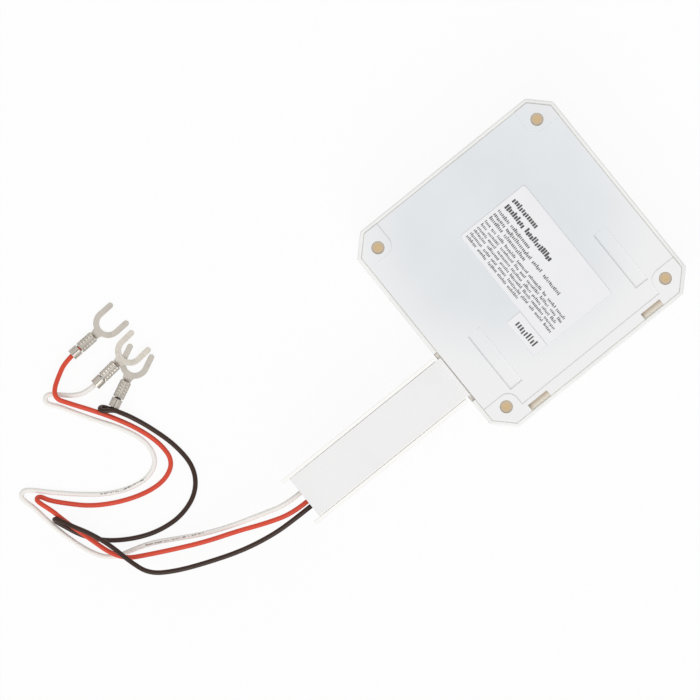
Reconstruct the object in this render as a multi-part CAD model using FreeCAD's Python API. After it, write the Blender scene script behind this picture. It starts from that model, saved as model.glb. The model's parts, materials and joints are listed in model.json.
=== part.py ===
import FreeCAD, Part
import math
import os

V = FreeCAD.Vector
os.makedirs("parts", exist_ok=True)

# Case: a shallow square tray with clipped corners, its front face down on z = 0
case_side = 80.0
case_half = case_side / 2
corner_leg = 6.3
case_wall = 2.0
rim_wall = 1.2
front_floor = 2.0
front_round = 2.5
corner_round = 0.9
rim_round = 0.5
post_radius = 3.5
screw_head_room = 4.5

# Circuit board, standing on bosses of the front face
board_gap = 3.5
board_half = case_half - case_wall - board_gap
board_leg = 14.0
boss_height = 2.4
boss_radius = 2.5
board_bottom = front_floor + boss_height
board_thickness = 1.6
board_top = board_bottom + board_thickness
boss_inset = 3.5
board_spots = [(board_half - boss_inset, 17.0), (boss_inset - board_half, 17.0),
               (board_half - boss_inset, -5.0), (boss_inset - board_half, -3.0)]
pilot_radius = 1.1
screw_shank_radius = 1.0
screw_head_radius = 2.1
screw_head_height = 1.4
screw_reach = 4.4
screw_head_round = 0.5
recess_reach = 1.2
recess_half = 0.25
recess_depth = 0.7

# Battery, a 17 by 34.5 mm lithium cell along X; its size sets the depth of the case
cell_y = 20.0
cell_radius = 8.2
wrap_radius = 8.4
wrap_gap = 0.05
wrap_inset = 0.7
cell_half_length = 16.8
cap_length = 0.8
cap_radius = 3.2
cell_round = 0.6
holder_floor = 1.0
holder_wall = 0.9
holder_end = 1.2
holder_side_rise = 1.0
relief_share = 0.6
contact_space = 1.7
cradle_gap = 0.3
cell_lift = 0.2
leaf_width = 6.0
leaf_sheet = 0.4
leaf_gap = 0.05
leaf_nose_half = 0.8
leaf_foot = 2.3
cell_z = board_top + holder_floor + cell_lift + wrap_radius
holder_half_length = cell_half_length + cap_length + contact_space + holder_end
holder_half_width = wrap_radius + cradle_gap + holder_wall
end_wall_top = cell_z + 4.4

# Back plate, lying on the seat inside the rim and standing a little proud of it
plate_gap = 0.15
plate_half = case_half - rim_wall - plate_gap
plate_thickness = 2.2
plate_proud = 0.4
cell_headroom = 0.8
seat_height = cell_z + wrap_radius + cell_headroom
plate_top = seat_height + plate_thickness
rim_height = plate_top - plate_proud
post_top = seat_height - screw_head_room
border_inside = plate_half - 3.6
field_depth = 0.3
pad_inside_x = plate_half - 9.8
pad_inside_y = plate_half - 10.6
pad_round = 3.7
pocket_depth = 0.8
pocket_length = 21.6
pocket_width = 4.8
pocket_end = plate_half - 9.5
screw_inset = 7.5
screw_place = case_half - screw_inset
screw_hole_radius = 2.05
latch_y = pad_inside_y - 5.0
latch_width = 7.0
pry_reach = 2.2
pry_width = 7.6
pry_depth = 1.4
clip_thickness = 1.6
latch_inset = 2.1
latch_drop = 8.0
latch_barb = 0.8
latch_barb_height = 2.8
hook_y = plate_half - 20.6
hook_width = 6.0
hook_inset = 0.8
hook_drop = 3.0
hook_tab_height = 1.6
hook_overhang = 0.6
clip_pocket_width = 8.0
hook_pocket_height = 6.1
hook_pocket_room = 0.2
latch_pocket_depth = 1.0
latch_pocket_height = 3.6

# Stickers on the back plate
label_size = (44.5, 26.4)
label_centre = (3.3, 3.2)
label_corner = 1.0
label_thickness = 0.15
date_size = (13.9, 5.6)
date_centre = (18.6, -12.85)
date_corner = 0.3
date_thickness = 0.12

# Wiring duct that leaves the bottom edge of the case
duct_x = 14.8
duct_gap = 0.2
strip_width = 15.2
strip_thickness = 1.6
strip_top = seat_height - duct_gap
flange_thickness = 1.4
shadow_width = 0.35
shadow_depth = 1.0
ear_gap = 0.15
ear_drop = 0.8
ear_thickness = 2.0
flange_gap = 0.15
flange_width = 22.0
flange_window = 11.0
flange_y1 = -case_half + case_wall + flange_gap + flange_thickness
channel_width = 17.8
channel_wall = 1.2
channel_height = 9.8
channel_top = seat_height
channel_bottom = channel_top - channel_height
channel_start = -case_half - 1.0
channel_length = 62.0
channel_end = channel_start - channel_length
mouth_setback = 2.4
strip_end = channel_end + mouth_setback
channel_round = 0.8
bead_clearance = 0.1
bead_inset = 4.0
bead_half = 0.45
groove_depth = 0.35
groove_width = 0.6
duct_notch_gap = 0.75
duct_notch_bottom = channel_bottom - 2 * duct_gap
flange_bottom = duct_notch_bottom - duct_gap

# Leads: one insulated wire size throughout
wire_radius = 0.78
wire_lift = 2.4
duct_wire_z = channel_bottom + wire_lift
lead_exit_y = channel_end + 2.0
lead_exits = {"white": duct_x - 2.1, "red": duct_x + 1.4, "black": duct_x + 3.3}
clamp_x = duct_x + 0.5
pin_pitch = 2.5
lead_inner_x = {"white": clamp_x - pin_pitch, "red": clamp_x, "black": clamp_x + pin_pitch}
lead_straight = 6.0
bend_share = 0.45

# Strain relief: leads pinched between a block of the case and a screwed bar
grip_gap = 0.05
bridge_width = 22.0
bridge_depth = 4.2
bridge_y0 = flange_y1 + flange_gap
bridge_y1 = bridge_y0 + bridge_depth
bridge_middle = bridge_y0 + bridge_depth / 2
bridge_top = duct_wire_z - wire_radius - grip_gap
bay_gap = 1.0
clamp_length = 17.0
clamp_thickness = 2.0
clamp_bottom = duct_wire_z + wire_radius + grip_gap
clamp_screw_offset = 6.5
clamp_screw_reach = 10.6

# Plug and socket on the board
plug_lift = 3.6
plug_wire_z = board_top + plug_lift
plug_rear = -12.0
plug_front = -1.7
plug_width = 9.5
plug_wall = 0.15
header_width = 11.2
header_wall = 0.7
header_back = 1.5
header_mouth = -6.5
header_drop = 0.4
pin_half = 0.32
socket_half = 0.42

# Parts on the board: where each stands and its width, depth and height
radio_place = (10.5 - board_half, 14.5 - board_half)
radio_size = (12.0, 16.0, 0.8)
radio_pads = 6
radio_pad_pitch = 2.2
shield_size = (9.6, 11.6, 2.2)
shield_sheet = 0.3
antenna_radius = 0.5
antenna_height = 9.2
antenna_lane = 5.4
antenna_step = 8.5
chip_place = (radio_place[0] + 14.0, radio_place[1] + 14.0)
chip_size = (9.0, 6.0, 1.6)
chip_leads = 10
chip_lead_pitch = 0.85
chip_lead_width = 0.35
chip_lift = 0.15
crystal_place = (chip_place[0], chip_place[1] + 9.0)
crystal_can = (10.6, 3.8, 3.5)
crystal_flange = (11.4, 4.6, 0.4)
coupler_x = 2.2
coupler_ys = (-6.0, 3.0)
coupler_size = (4.8, 4.6, 3.5)
coupler_pitch = 2.54
coupler_lift = 0.5
resistor_x = radio_place[0] + 22.5
resistor_ys = (8.5 - board_half, 15.5 - board_half)
resistor_length = 10.0
resistor_radius = 1.6
resistor_span = 13.6
resistor_leg_radius = 0.35
resistor_lift = 0.5
resistor_round = 0.5
diode_x = radio_place[0] + 11.7
diode_y = radio_place[1] - 9.0
diode_pitch = 4.2
diode_size = (4.2, 2.6, 2.1)
diode_count = 4
diode_lift = 0.2
diode_foot = 0.6
capacitor_radius = 4.0
capacitor_place = (lead_inner_x["black"] + wire_radius + capacitor_radius + 1.5, 9.5 - board_half)
capacitor_height = 11.5
waist_height = 1.8
waist_depth = 0.2
waist_radius = 0.35
capacitor_round = 0.4
switch_place = (board_half - 6.5, -12.0)
switch_size = (6.0, 6.0, 3.2)
plunger_radius = 1.7
plunger_gap = 0.1
plunger_travel = 0.25
plunger_height = 2.7
bore_depth = 1.0
plunger_round = 0.3
lamp_place = (board_half - 6.5, 2.0)
lamp_radius = 1.5
lamp_height = 3.8
lamp_flange = 0.4
small_capacitor = (1.6, 0.8, 0.8)
small_resistor = (1.6, 0.8, 0.5)

# Fork terminals, measured from the rear end of the insulation crimp
crimp_radius = 1.8
crimp_length = 3.0
crimp_gap = 0.05
crimp_flare = 0.45
barrel_start = 3.4
barrel_end = 9.1
barrel_width = 3.6
barrel_height = 2.5
crease_depth = 0.25
serration_count = 5
serration_width = 0.42
serration_depth = 0.32
serration_side = 0.2
serration_foot = 0.7
serration_pitch = 1.05
sheet = 0.8
neck_end = 10.9
neck_half = 1.1
neck_root = 1.2
neck_flare = 2.2
tongue_end = 12.1
fork_centre = 15.4
fork_outer = 4.75
fork_inner = 2.85
fork_length = 20.6

# Each free lead after the duct's mouth, with y counted from the mouth, down to the wire barrel
ROUTES = {
    "white": [
        (10.4, -13.1, 14.3), (7.7, -21.9, 10.7), (4.0, -31.2, 6.9), (-0.7, -39.7, 3.7),
        (-4.8, -47.0, 1.7), (-6.8, -53.1, 0.9), (-8.0, -57.9, 0.8), (-10.9, -61.7, 0.8),
        (-16.5, -64.6, 0.8), (-24.2, -66.9, 0.8), (-31.7, -68.3, 0.8), (-36.7, -68.8, 0.8),
        (-41.0, -70.1, 0.8), (-42.8, -69.6, 0.8), (-43.3, -67.8, 0.8), (-40.9, -65.0, 0.8),
        (-37.3, -61.6, 0.8), (-30.8, -54.6, 0.8), (-25.3, -47.6, 0.8), (-21.9, -39.7, 0.8),
        (-21.7, -33.2, 0.8), (-24.6, -28.7, 0.8), (-31.4, -27.8, 0.8), (-39.7, -31.5, 0.8),
        (-47.1, -36.6, 0.8), (-53.5, -40.4, 0.8), (-57.1, -42.4, 0.8), (-60.0, -44.9, 0.8),
        (-61.8, -44.5, 0.8), (-62.4, -42.7, 0.8), (-59.9, -39.9, 0.8), (-56.9, -36.8, 0.8),
        (-54.85, -32.38, 1.5), (-55.48, -25.64, 2.09),
    ],
    "red": [
        (13.4, -14.3, 14.7), (9.7, -22.8, 11.7), (5.9, -33.1, 8.7), (1.2, -42.9, 6.5),
        (-2.8, -50.7, 5.1), (-5.8, -56.1, 4.5), (-10.7, -59.2, 4.1), (-17.6, -61.1, 3.8),
        (-23.6, -62.9, 3.6), (-29.1, -64.3, 3.5), (-32.5, -65.0, 3.4), (-37.6, -66.8, 3.4),
        (-38.8, -66.4, 2.1), (-38.5, -65.1, 0.8), (-35.7, -63.7, 0.9), (-31.8, -60.3, 0.8),
        (-25.9, -54.5, 0.8), (-21.0, -46.3, 0.8), (-17.9, -37.5, 0.8), (-17.6, -30.2, 0.8),
        (-20.8, -25.0, 0.8), (-27.6, -24.7, 0.8), (-35.5, -27.1, 0.8), (-43.7, -31.3, 0.8),
        (-49.8, -35.2, 0.8), (-54.2, -38.2, 1.7), (-56.8, -39.9, 3.1), (-58.8, -41.2, 3.7),
        (-60.7, -41.2, 3.7), (-62.6, -39.7, 3.1), (-64.5, -36.7, 2.3), (-67.05, -31.8, 1.8),
        (-67.33, -25.51, 1.8),
    ],
    "black": [
        (17.7, -14.7, 14.9), (15.5, -25.5, 12.7), (11.5, -36.5, 11.1), (7.3, -46.2, 9.7),
        (2.6, -53.4, 8.7), (-4.3, -55.8, 8.1), (-12.2, -57.4, 7.5), (-19.2, -60.0, 7.1),
        (-24.2, -62.8, 6.5), (-26.5, -63.9, 5.8), (-29.4, -65.5, 5.1), (-30.1, -66.2, 3.6),
        (-29.1, -66.3, 2.1), (-25.6, -64.8, 1.7), (-22.8, -63.7, 1.2), (-18.9, -61.6, 0.8),
        (-13.6, -57.0, 0.8), (-8.8, -49.6, 0.8), (-6.0, -42.2, 0.8), (-5.3, -33.7, 0.8),
        (-8.2, -25.6, 0.8), (-14.8, -21.0, 0.8), (-24.1, -21.2, 0.8), (-33.7, -24.0, 0.8),
        (-40.2, -26.7, 1.5), (-43.3, -28.4, 2.8), (-45.2, -29.5, 3.8), (-47.3, -32.8, 4.0),
        (-48.6, -32.7, 2.4), (-48.2, -31.5, 0.8), (-45.51, -29.91, 1.4), (-46.51, -27.73, 1.8),
        (-47.37, -25.93, 1.8),
    ],
}

# Where each terminal lies: rear end x and y from the mouth, heading and rise in degrees
TERMINALS = {
    "red": (-67.2, -28.95, 92.6, 0),
    "white": (-55.2, -28.9, 95.4, 5),
    "black": (-45.95, -29.05, 115.0, 0),
}


def box(x0, x1, y0, y1, z0, z1):
    """Box between two corners."""
    return Part.makeBox(x1 - x0, y1 - y0, z1 - z0, V(x0, y0, z0))


def post(x, y, z0, z1, radius):
    """Upright cylinder."""
    return Part.makeCylinder(radius, z1 - z0, V(x, y, z0))


def bar_x(x0, x1, y, z, radius):
    """Cylinder along X."""
    return Part.makeCylinder(radius, x1 - x0, V(x0, y, z), V(1, 0, 0))


def joined(shapes):
    """One solid out of several that touch."""
    solid = shapes[0].fuse(shapes[1:]) if len(shapes) > 1 else shapes[0]
    return solid.removeSplitter()


def octagon(half, leg, z0, z1):
    """Square prism with its four corners clipped at 45 degrees."""
    c = half - leg
    ring = [(half, -c), (half, c), (c, half), (-c, half)]
    ring += [(-x, -y) for x, y in ring]
    points = [V(x, y, z0) for x, y in ring]
    return Part.Face(Part.makePolygon(points + points[:1])).extrude(V(0, 0, z1 - z0))


def inner_leg(offset):
    """Corner leg of the case outline moved inward by an offset."""
    return corner_leg - (2 - math.sqrt(2)) * offset


def upright_edges(shape, z0, z1):
    """Edges that rise straight from z0 to z1."""
    found = []
    for edge in shape.Edges:
        a, b = edge.Vertexes[0].Point, edge.Vertexes[-1].Point
        if abs(a.x - b.x) + abs(a.y - b.y) < 1e-6 and abs(min(a.z, b.z) - z0) < 1e-4:
            if abs(max(a.z, b.z) - z1) < 1e-4:
                found.append(edge)
    return found


def edges_at(shape, z):
    """Edges that lie in the plane at height z."""
    return [e for e in shape.Edges if all(abs(v.Point.z - z) < 1e-4 for v in e.Vertexes)]


def rounded_box(cx, cy, width, depth, z0, z1, radius):
    """Flat box with four rounded upright corners."""
    slab = box(cx - width / 2, cx + width / 2, cy - depth / 2, cy + depth / 2, z0, z1)
    return slab.makeFillet(radius, upright_edges(slab, z0, z1))


def tube(points, radius, name=""):
    """Round wire along straight runs joined by tangent arcs."""
    pts = [V(*p) for p in points]
    edges = []
    radii = []
    start = pts[0]
    for a, b, c in zip(pts, pts[1:], pts[2:]):
        u = (b - a).normalize()
        v = (c - b).normalize()
        turn = u.getAngle(v)
        reach = bend_share * min((b - a).Length, (c - b).Length)
        bend = reach / math.tan(turn / 2)
        radii.append(bend)
        side = (v - u).normalize()
        centre = b + side * (bend / math.cos(turn / 2))
        enter = b - u * reach
        leave = b + v * reach
        edges.append(Part.LineSegment(start, enter).toShape())
        edges.append(Part.Arc(enter, centre - side * bend, leave).toShape())
        start = leave
    edges.append(Part.LineSegment(start, pts[-1]).toShape())
    path = Part.Wire(edges)
    ring = Part.Wire(Part.makeCircle(radius, pts[0], pts[1] - pts[0]))
    solid = path.makePipeShell([ring], True, False)
    share = solid.Volume / (math.pi * radius ** 2 * path.Length)
    print(name, "length %.1f" % path.Length, "volume share %.4f" % share)
    print("   bend radii", " ".join("%.1f" % r for r in radii))
    return solid


def save(node, shape):
    """Write one node's solid, or its group of equal solids."""
    if not shape.isValid():
        raise ValueError(node + " is not a valid shape")
    shape.exportStep("parts/" + node + ".step")
    print(node, len(shape.Solids), "solid(s)")


def cross_head(x, y, z, reach):
    """Pan head screw with a cross recess, its head on height z, its shank reaching below."""
    head = post(x, y, z, z + screw_head_height, screw_head_radius)
    head = head.makeFillet(screw_head_round, edges_at(head, z + screw_head_height))
    screw = head.fuse(post(x, y, z - reach, z, screw_shank_radius))
    top = z + screw_head_height
    slots = [box(x - a, x + a, y - b, y + b, top - recess_depth, top + 1)
             for a, b in ((recess_reach, recess_half), (recess_half, recess_reach))]
    return screw.cut(slots).removeSplitter()


def front_cover():
    """The outer shell: front face, walls, rim, posts, bosses and lead bridge."""
    shell = octagon(case_half, corner_leg, 0, rim_height)
    shell = shell.makeFillet(corner_round, upright_edges(shell, 0, rim_height))
    shell = shell.makeFillet(rim_round, edges_at(shell, rim_height))
    shell = shell.makeFillet(front_round, edges_at(shell, 0))
    inside = case_half - case_wall
    low = octagon(inside, inner_leg(case_wall), front_floor, seat_height)
    high = octagon(case_half - rim_wall, inner_leg(rim_wall), seat_height, rim_height + 1)
    notch = channel_width / 2 + duct_notch_gap
    cuts = [low, high, box(duct_x - notch, duct_x + notch, -case_half - 1, -inside + 0.5,
                           duct_notch_bottom, rim_height + 1)]
    for side in (-1, 1):
        y = side * hook_y
        z = seat_height - hook_drop + hook_tab_height + hook_pocket_room
        cuts.append(box(-plate_half - hook_overhang - 0.1, 0.1 - inside, y - clip_pocket_width / 2,
                        y + clip_pocket_width / 2, z - hook_pocket_height, z))
        y = side * latch_y
        z = seat_height - latch_drop + 0.5
        cuts.append(box(inside - 0.1, inside + latch_pocket_depth, y - clip_pocket_width / 2,
                        y + clip_pocket_width / 2, z, z + latch_pocket_height))
    shell = shell.cut(cuts)
    root = front_floor / 2
    adds = [post(x, y, root, post_top, post_radius) for x, y in corners(screw_place)]
    adds += [post(x, y, root, board_bottom, boss_radius) for x, y in board_spots]
    reach = bridge_width / 2
    adds.append(box(duct_x - reach, duct_x + reach, bridge_y0, bridge_y1, root, bridge_top))
    shell = shell.fuse(adds)
    pilots = [post(x, y, root + 0.2, board_bottom + 1, pilot_radius) for x, y in board_spots]
    pilots += [post(x, bridge_middle, bridge_top - screw_head_room * 2, bridge_top + 1, pilot_radius)
               for x in clamp_screw_xs()]
    return shell.cut(pilots).removeSplitter()


def corners(place):
    """The four points of a square about the centre."""
    return [(sx * place, sy * place) for sx in (-1, 1) for sy in (-1, 1)]


def clamp_screw_xs():
    return [clamp_x - clamp_screw_offset, clamp_x + clamp_screw_offset]


def corner_pad(sx, sy):
    """Block over one corner of the plate with its inner upright edge rounded."""
    x0, x1 = sorted((sx * pad_inside_x, sx * (plate_half + 1)))
    y0, y1 = sorted((sy * pad_inside_y, sy * (plate_half + 1)))
    pad = box(x0, x1, y0, y1, seat_height, plate_top + 2)
    inner = [e for e in upright_edges(pad, seat_height, plate_top + 2)
             if abs(abs(e.Vertexes[0].Point.x) - pad_inside_x) < 1e-6
             and abs(abs(e.Vertexes[0].Point.y) - pad_inside_y) < 1e-6]
    return pad.makeFillet(pad_round, inner)


def back_plate():
    """Removable back with raised strip, corner pads, hooks and latch legs."""
    plate = octagon(plate_half, inner_leg(rim_wall + plate_gap), seat_height, plate_top)
    plate = plate.makeFillet(corner_round, upright_edges(plate, seat_height, plate_top))
    far = plate_half + 1
    field = box(-far, border_inside, -far, far, plate_top - field_depth, plate_top + 1)
    plate = plate.cut(field.cut([corner_pad(sx, sy) for sx in (-1, 1) for sy in (-1, 1)]))
    cuts = [post(x, y, seat_height - 1, plate_top + 1, screw_hole_radius) for x, y in corners(screw_place)]
    for side in (-1, 1):
        y0, y1 = sorted((side * (pad_inside_y - pocket_width), side * pad_inside_y))
        cuts.append(box(pocket_end - pocket_length, pocket_end, y0, y1,
                        plate_top - pocket_depth, plate_top + 1))
        y = side * latch_y
        cuts.append(box(plate_half - pry_reach, plate_half + 1, y - pry_width / 2,
                        y + pry_width / 2, plate_top - pry_depth, plate_top + 1))
    plate = plate.cut(cuts)
    return joined([plate] + [clip(side) for side in (-1, 1) for clip in (hook, latch)])


def hook(side):
    """L-shaped hook that catches the left wall."""
    x0 = hook_inset - plate_half
    y = side * hook_y - hook_width / 2
    foot = seat_height - hook_drop
    leg = box(x0, x0 + clip_thickness, y, y + hook_width, foot, seat_height + 0.5)
    tab = box(-plate_half - hook_overhang, x0 + clip_thickness, y, y + hook_width,
              foot, foot + hook_tab_height)
    return leg.fuse(tab)


def latch(side):
    """Springy leg with a barb that snaps into the right wall."""
    x1 = plate_half - latch_inset
    y = side * latch_y - latch_width / 2
    foot = seat_height - latch_drop
    leg = box(x1 - clip_thickness, x1, y, y + latch_width, foot, seat_height + 0.5)
    root = x1 - clip_thickness / 2
    outline = [(root, foot), (x1, foot), (x1 + latch_barb, foot + latch_barb_height * 0.7),
               (x1, foot + latch_barb_height), (root, foot + latch_barb_height)]
    return leg.fuse(slab_along_y(outline, y, latch_width))


def slab_along_y(outline, y, width):
    """Solid with an x, z outline, running along Y."""
    points = [V(x, y, z) for x, z in outline]
    return Part.Face(Part.makePolygon(points + points[:1])).extrude(V(0, width, 0))


def sticker(size, centre, corner, thickness):
    """Thin sheet stuck on the field of the back plate."""
    z = plate_top - field_depth
    return rounded_box(centre[0], centre[1], size[0], size[1], z, z + thickness, corner)


def duct_base():
    """Flat strip of the wiring duct, with a flange caught behind the wall and ears in its notch."""
    half = strip_width / 2
    under = strip_top - strip_thickness
    strip = box(duct_x - half, duct_x + half, strip_end, flange_y1, under, strip_top)
    flange = box(duct_x - flange_width / 2, duct_x + flange_width / 2, flange_y1 - flange_thickness,
                 flange_y1, flange_bottom, strip_top)
    window = box(duct_x - flange_window / 2, duct_x + flange_window / 2, flange_y1 - flange_thickness - 1,
                 flange_y1 + 1, flange_bottom - 1, under)
    reach = channel_width / 2 + duct_notch_gap - ear_gap
    ear_top = strip_top - ear_drop
    ears = box(duct_x - reach, duct_x + reach, ear_gap - case_half, -case_half + case_wall,
               ear_top - ear_thickness, ear_top)
    base = strip.fuse([flange, ears]).cut(window)
    mid = strip_top - strip_thickness / 2
    grooves = []
    for side in (-1, 1):
        x0, x1 = sorted((duct_x + side * (half - groove_depth), duct_x + side * (half + 1)))
        grooves.append(box(x0, x1, strip_end - 1, channel_start,
                           mid - groove_width / 2, mid + groove_width / 2))
    edge = -plate_half - shadow_width / 2
    grooves.append(box(duct_x - half - 1, duct_x + half + 1, edge - shadow_width / 2,
                       edge + shadow_width, strip_top - shadow_depth, strip_top + 1))
    return base.cut(grooves).removeSplitter()


def duct_cover():
    """U-shaped channel that snaps over the strip from the front side."""
    half = channel_width / 2
    outer = box(duct_x - half, duct_x + half, channel_end, channel_start, channel_bottom, channel_top)
    low = [e for e in edges_at(outer, channel_bottom) if e.Length > channel_width + 1]
    outer = outer.makeFillet(channel_round, low)
    inside = half - channel_wall
    space = box(duct_x - inside, duct_x + inside, channel_end - 1, channel_start + 1,
                channel_bottom + channel_wall, channel_top + 1)
    mouth = box(duct_x - inside, duct_x + inside, channel_end - 1, strip_end,
                channel_bottom - 1, channel_top + 1)
    mid = strip_top - strip_thickness / 2
    beads = []
    for side in (-1, 1):
        wall = duct_x + side * (inside + channel_wall / 4)
        tip = duct_x + side * (strip_width / 2 + bead_clearance)
        outline = [(wall, mid - bead_half), (tip, mid), (wall, mid + bead_half)]
        beads.append(slab_along_y(outline, channel_end + bead_inset, channel_length - 2 * bead_inset))
    return joined([outer.cut([space, mouth])] + beads)


def wire_clamp():
    """Bar that presses the three leads onto the bridge."""
    z1 = clamp_bottom + clamp_thickness
    bar = box(clamp_x - clamp_length / 2, clamp_x + clamp_length / 2, bridge_y0 + 0.1, bridge_y1 - 0.1,
              clamp_bottom, z1)
    bar = bar.makeFillet(0.5, edges_at(bar, z1))
    return bar.cut([post(x, bridge_middle, clamp_bottom - 1, z1 + 1, screw_shank_radius + 0.1)
                    for x in clamp_screw_xs()])


def clamp_screws():
    top = clamp_bottom + clamp_thickness
    screws = [cross_head(x, bridge_middle, top, clamp_screw_reach) for x in clamp_screw_xs()]
    return Part.makeCompound(screws)


def circuit_board():
    """Green board with clipped corners and a bay for the lead bridge."""
    board = octagon(board_half, board_leg, board_bottom, board_top)
    bay = bridge_width / 2 + bay_gap
    z0, z1 = board_bottom - 1, board_top + 1
    cuts = [box(duct_x - bay, duct_x + bay, -board_half - 1, bridge_y1 + bay_gap, z0, z1)]
    cuts += [post(x, y, z0, z1, screw_shank_radius + 0.3) for x, y in board_spots]
    return board.cut(cuts)


def board_screws():
    return Part.makeCompound([cross_head(x, y, board_top, screw_reach) for x, y in board_spots])


def battery_holder():
    """Open cradle for the cell, with end walls behind the contacts."""
    n, w = holder_half_length, holder_half_width
    y0, y1 = cell_y - w, cell_y + w
    side_top = cell_z + holder_side_rise
    parts = [box(-n, n, y0, y1, board_top, board_top + holder_floor)]
    parts.append(box(-n, n, y0, y0 + holder_wall, board_top, side_top))
    parts.append(box(-n, n, y1 - holder_wall, y1, board_top, side_top))
    parts.append(box(-n, holder_end - n, y0, y1, board_top, end_wall_top))
    parts.append(box(n - holder_end, n, y0, y1, board_top, end_wall_top))
    reach = w * relief_share
    relief = box(-reach, reach, y0 - 1, y1 + 1, (board_top + side_top) / 2, side_top + 1)
    return joined(parts).cut(relief)


def battery_cell():
    body = bar_x(-cell_half_length, cell_half_length, cell_y, cell_z, cell_radius)
    body = body.makeFillet(cell_round, [e for e in body.Edges if len(e.Vertexes) == 1])
    cap = bar_x(cell_half_length - cell_round, cell_half_length + cap_length, cell_y, cell_z, cap_radius)
    return joined([body, cap])


def battery_wrap():
    """Printed sleeve round the cell."""
    length = cell_half_length - wrap_inset
    outer = bar_x(-length, length, cell_y, cell_z, wrap_radius)
    return outer.cut(bar_x(-length - 1, length + 1, cell_y, cell_z, cell_radius + wrap_gap))


def leaf(side, tip):
    """Bent spring leaf with a foot on the holder floor, bowed toward the cell."""
    back = holder_half_length - holder_end - leaf_gap
    front = back - leaf_sheet
    nose = tip + leaf_gap
    z0 = board_top + holder_floor
    z1 = end_wall_top - 1.0
    foot = back - leaf_foot
    outline = [(back, z0), (back, z1), (front, z1), (nose, cell_z + leaf_nose_half),
               (nose, cell_z - leaf_nose_half), (front, z0 + 1.5), (foot, z0 + leaf_sheet), (foot, z0)]
    bow = (front - nose) * 0.6
    hollow = [(front, cell_z - 2.6), (front, cell_z + 2.2),
              (front - bow, cell_z + 0.6), (front - bow, cell_z - 0.6)]
    solid, gap = [slab_along_y([(side * x, z) for x, z in line], cell_y - w, 2 * w)
                  for line, w in ((outline, leaf_width / 2), (hollow, leaf_width))]
    return solid.cut(gap)


def centred(place, size, z, lift=0):
    """Box centred on a place of the board, its foot at height z."""
    x, y = place
    w, d, h = size
    return box(x - w / 2, x + w / 2, y - d / 2, y + d / 2, z + lift, z + lift + h)


def radio_module():
    """Small daughter board with edge pads and the solder joint of its antenna."""
    x, y = radio_place
    w, d, h = radio_size
    first = y - (radio_pads - 1) / 2 * radio_pad_pitch
    pads = [centred((x + side * (w / 2 - 0.2), first + i * radio_pad_pitch), (0.6, 1.0, h + 0.1), board_top)
            for side in (-1, 1) for i in range(radio_pads)]
    joint = post(x, y + d / 2 - 1.2, board_top + h / 2, board_top + 2 * h, 0.7)
    return joined([centred(radio_place, radio_size, board_top)] + pads + [joint])


def shield_can():
    """Pressed metal lid over the radio."""
    x, y = radio_place[0], radio_place[1] - 1.0
    w, d, h = shield_size
    z = board_top + radio_size[2]
    lid = rounded_box(x, y, w, d, z, z + h, 0.5)
    return lid.cut(centred((x, y), (w - 2 * shield_sheet, d - 2 * shield_sheet, h), z, -shield_sheet))


def antenna_wire():
    """Quarter-wave whip led round the left and top of the board."""
    x, y = radio_place[0], radio_place[1] + radio_size[1] / 2 - 1.2
    z = antenna_height
    lane = -holder_half_length - antenna_lane
    top = cell_y + holder_half_width + antenna_lane / 2
    turn = lane + antenna_lane
    route = [(x, y, board_top + 2 * radio_size[2] + antenna_radius + 0.02),
             (x - antenna_lane / 5, y + antenna_step * 0.6, z),
             (lane, y + antenna_step * 1.4, z),
             (lane - antenna_radius / 2, y + antenna_step * 2.4, z),
             (lane + antenna_radius / 2, y + antenna_step * 3.4, z),
             (lane + antenna_lane / 5, top - antenna_step * 0.9, z),
             (turn, top - antenna_lane / 4, z)]
    route += [(turn + antenna_step * (i + 0.9), top + antenna_radius * wave, z)
              for i, wave in enumerate((0.2, 0.35, 0.1))]
    return tube(route, antenna_radius, "antenna_wire")


def microcontroller():
    """Gull-wing package with leads on its long sides."""
    x, y = chip_place
    parts = [centred(chip_place, chip_size, board_top, chip_lift)]
    for i in range(chip_leads):
        cx = x + (i - (chip_leads - 1) / 2) * chip_lead_pitch
        for side in (-1, 1):
            edge = y + side * chip_size[1] / 2
            parts.append(centred((cx, edge + side * 0.25), (chip_lead_width, 0.7, 0.25), board_top, 0.7))
            parts.append(centred((cx, edge + side * 0.5), (chip_lead_width, 0.2, 0.95), board_top))
            parts.append(centred((cx, edge + side * 0.8), (chip_lead_width, 0.8, 0.2), board_top))
    return joined(parts)


def crystal():
    """Low metal can on a flange."""
    x, y = crystal_place
    w, d, h = crystal_flange
    flange = rounded_box(x, y, w, d, board_top, board_top + h, d * 0.48)
    w, d, h = crystal_can
    return joined([rounded_box(x, y, w, d, board_top + 0.2, board_top + h, d * 0.48), flange])


def optocouplers():
    """Four-legged couplers that sense the doorbell circuit."""
    group = []
    half = coupler_size[0] / 2
    for y in coupler_ys:
        parts = [centred((coupler_x, y), coupler_size, board_top, coupler_lift)]
        for side in (-1, 1):
            for dy in (-coupler_pitch / 2, coupler_pitch / 2):
                edge = coupler_x + side * half
                parts.append(centred((edge + side * 0.35, y + dy), (1.1, 0.7, 0.3), board_top, 1.8))
                parts.append(centred((edge + side * 0.75, y + dy), (0.3, 0.7, 2.1), board_top))
        group.append(joined(parts))
    return Part.makeCompound(group)


def power_resistors():
    """Axial resistors lying on bent legs."""
    group = []
    for y in resistor_ys:
        z = board_top + resistor_radius + resistor_lift
        half = resistor_length / 2
        body = bar_x(resistor_x - half, resistor_x + half, y, z, resistor_radius)
        body = body.makeFillet(resistor_round, [e for e in body.Edges if len(e.Vertexes) == 1])
        x0, x1 = resistor_x - resistor_span / 2, resistor_x + resistor_span / 2
        corners = [(x0, y, board_top), (x0, y, z), (x1, y, z), (x1, y, board_top)]
        legs = tube(corners, resistor_leg_radius, "legs")
        group.append(joined([body, legs]))
    return Part.makeCompound(group)


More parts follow.
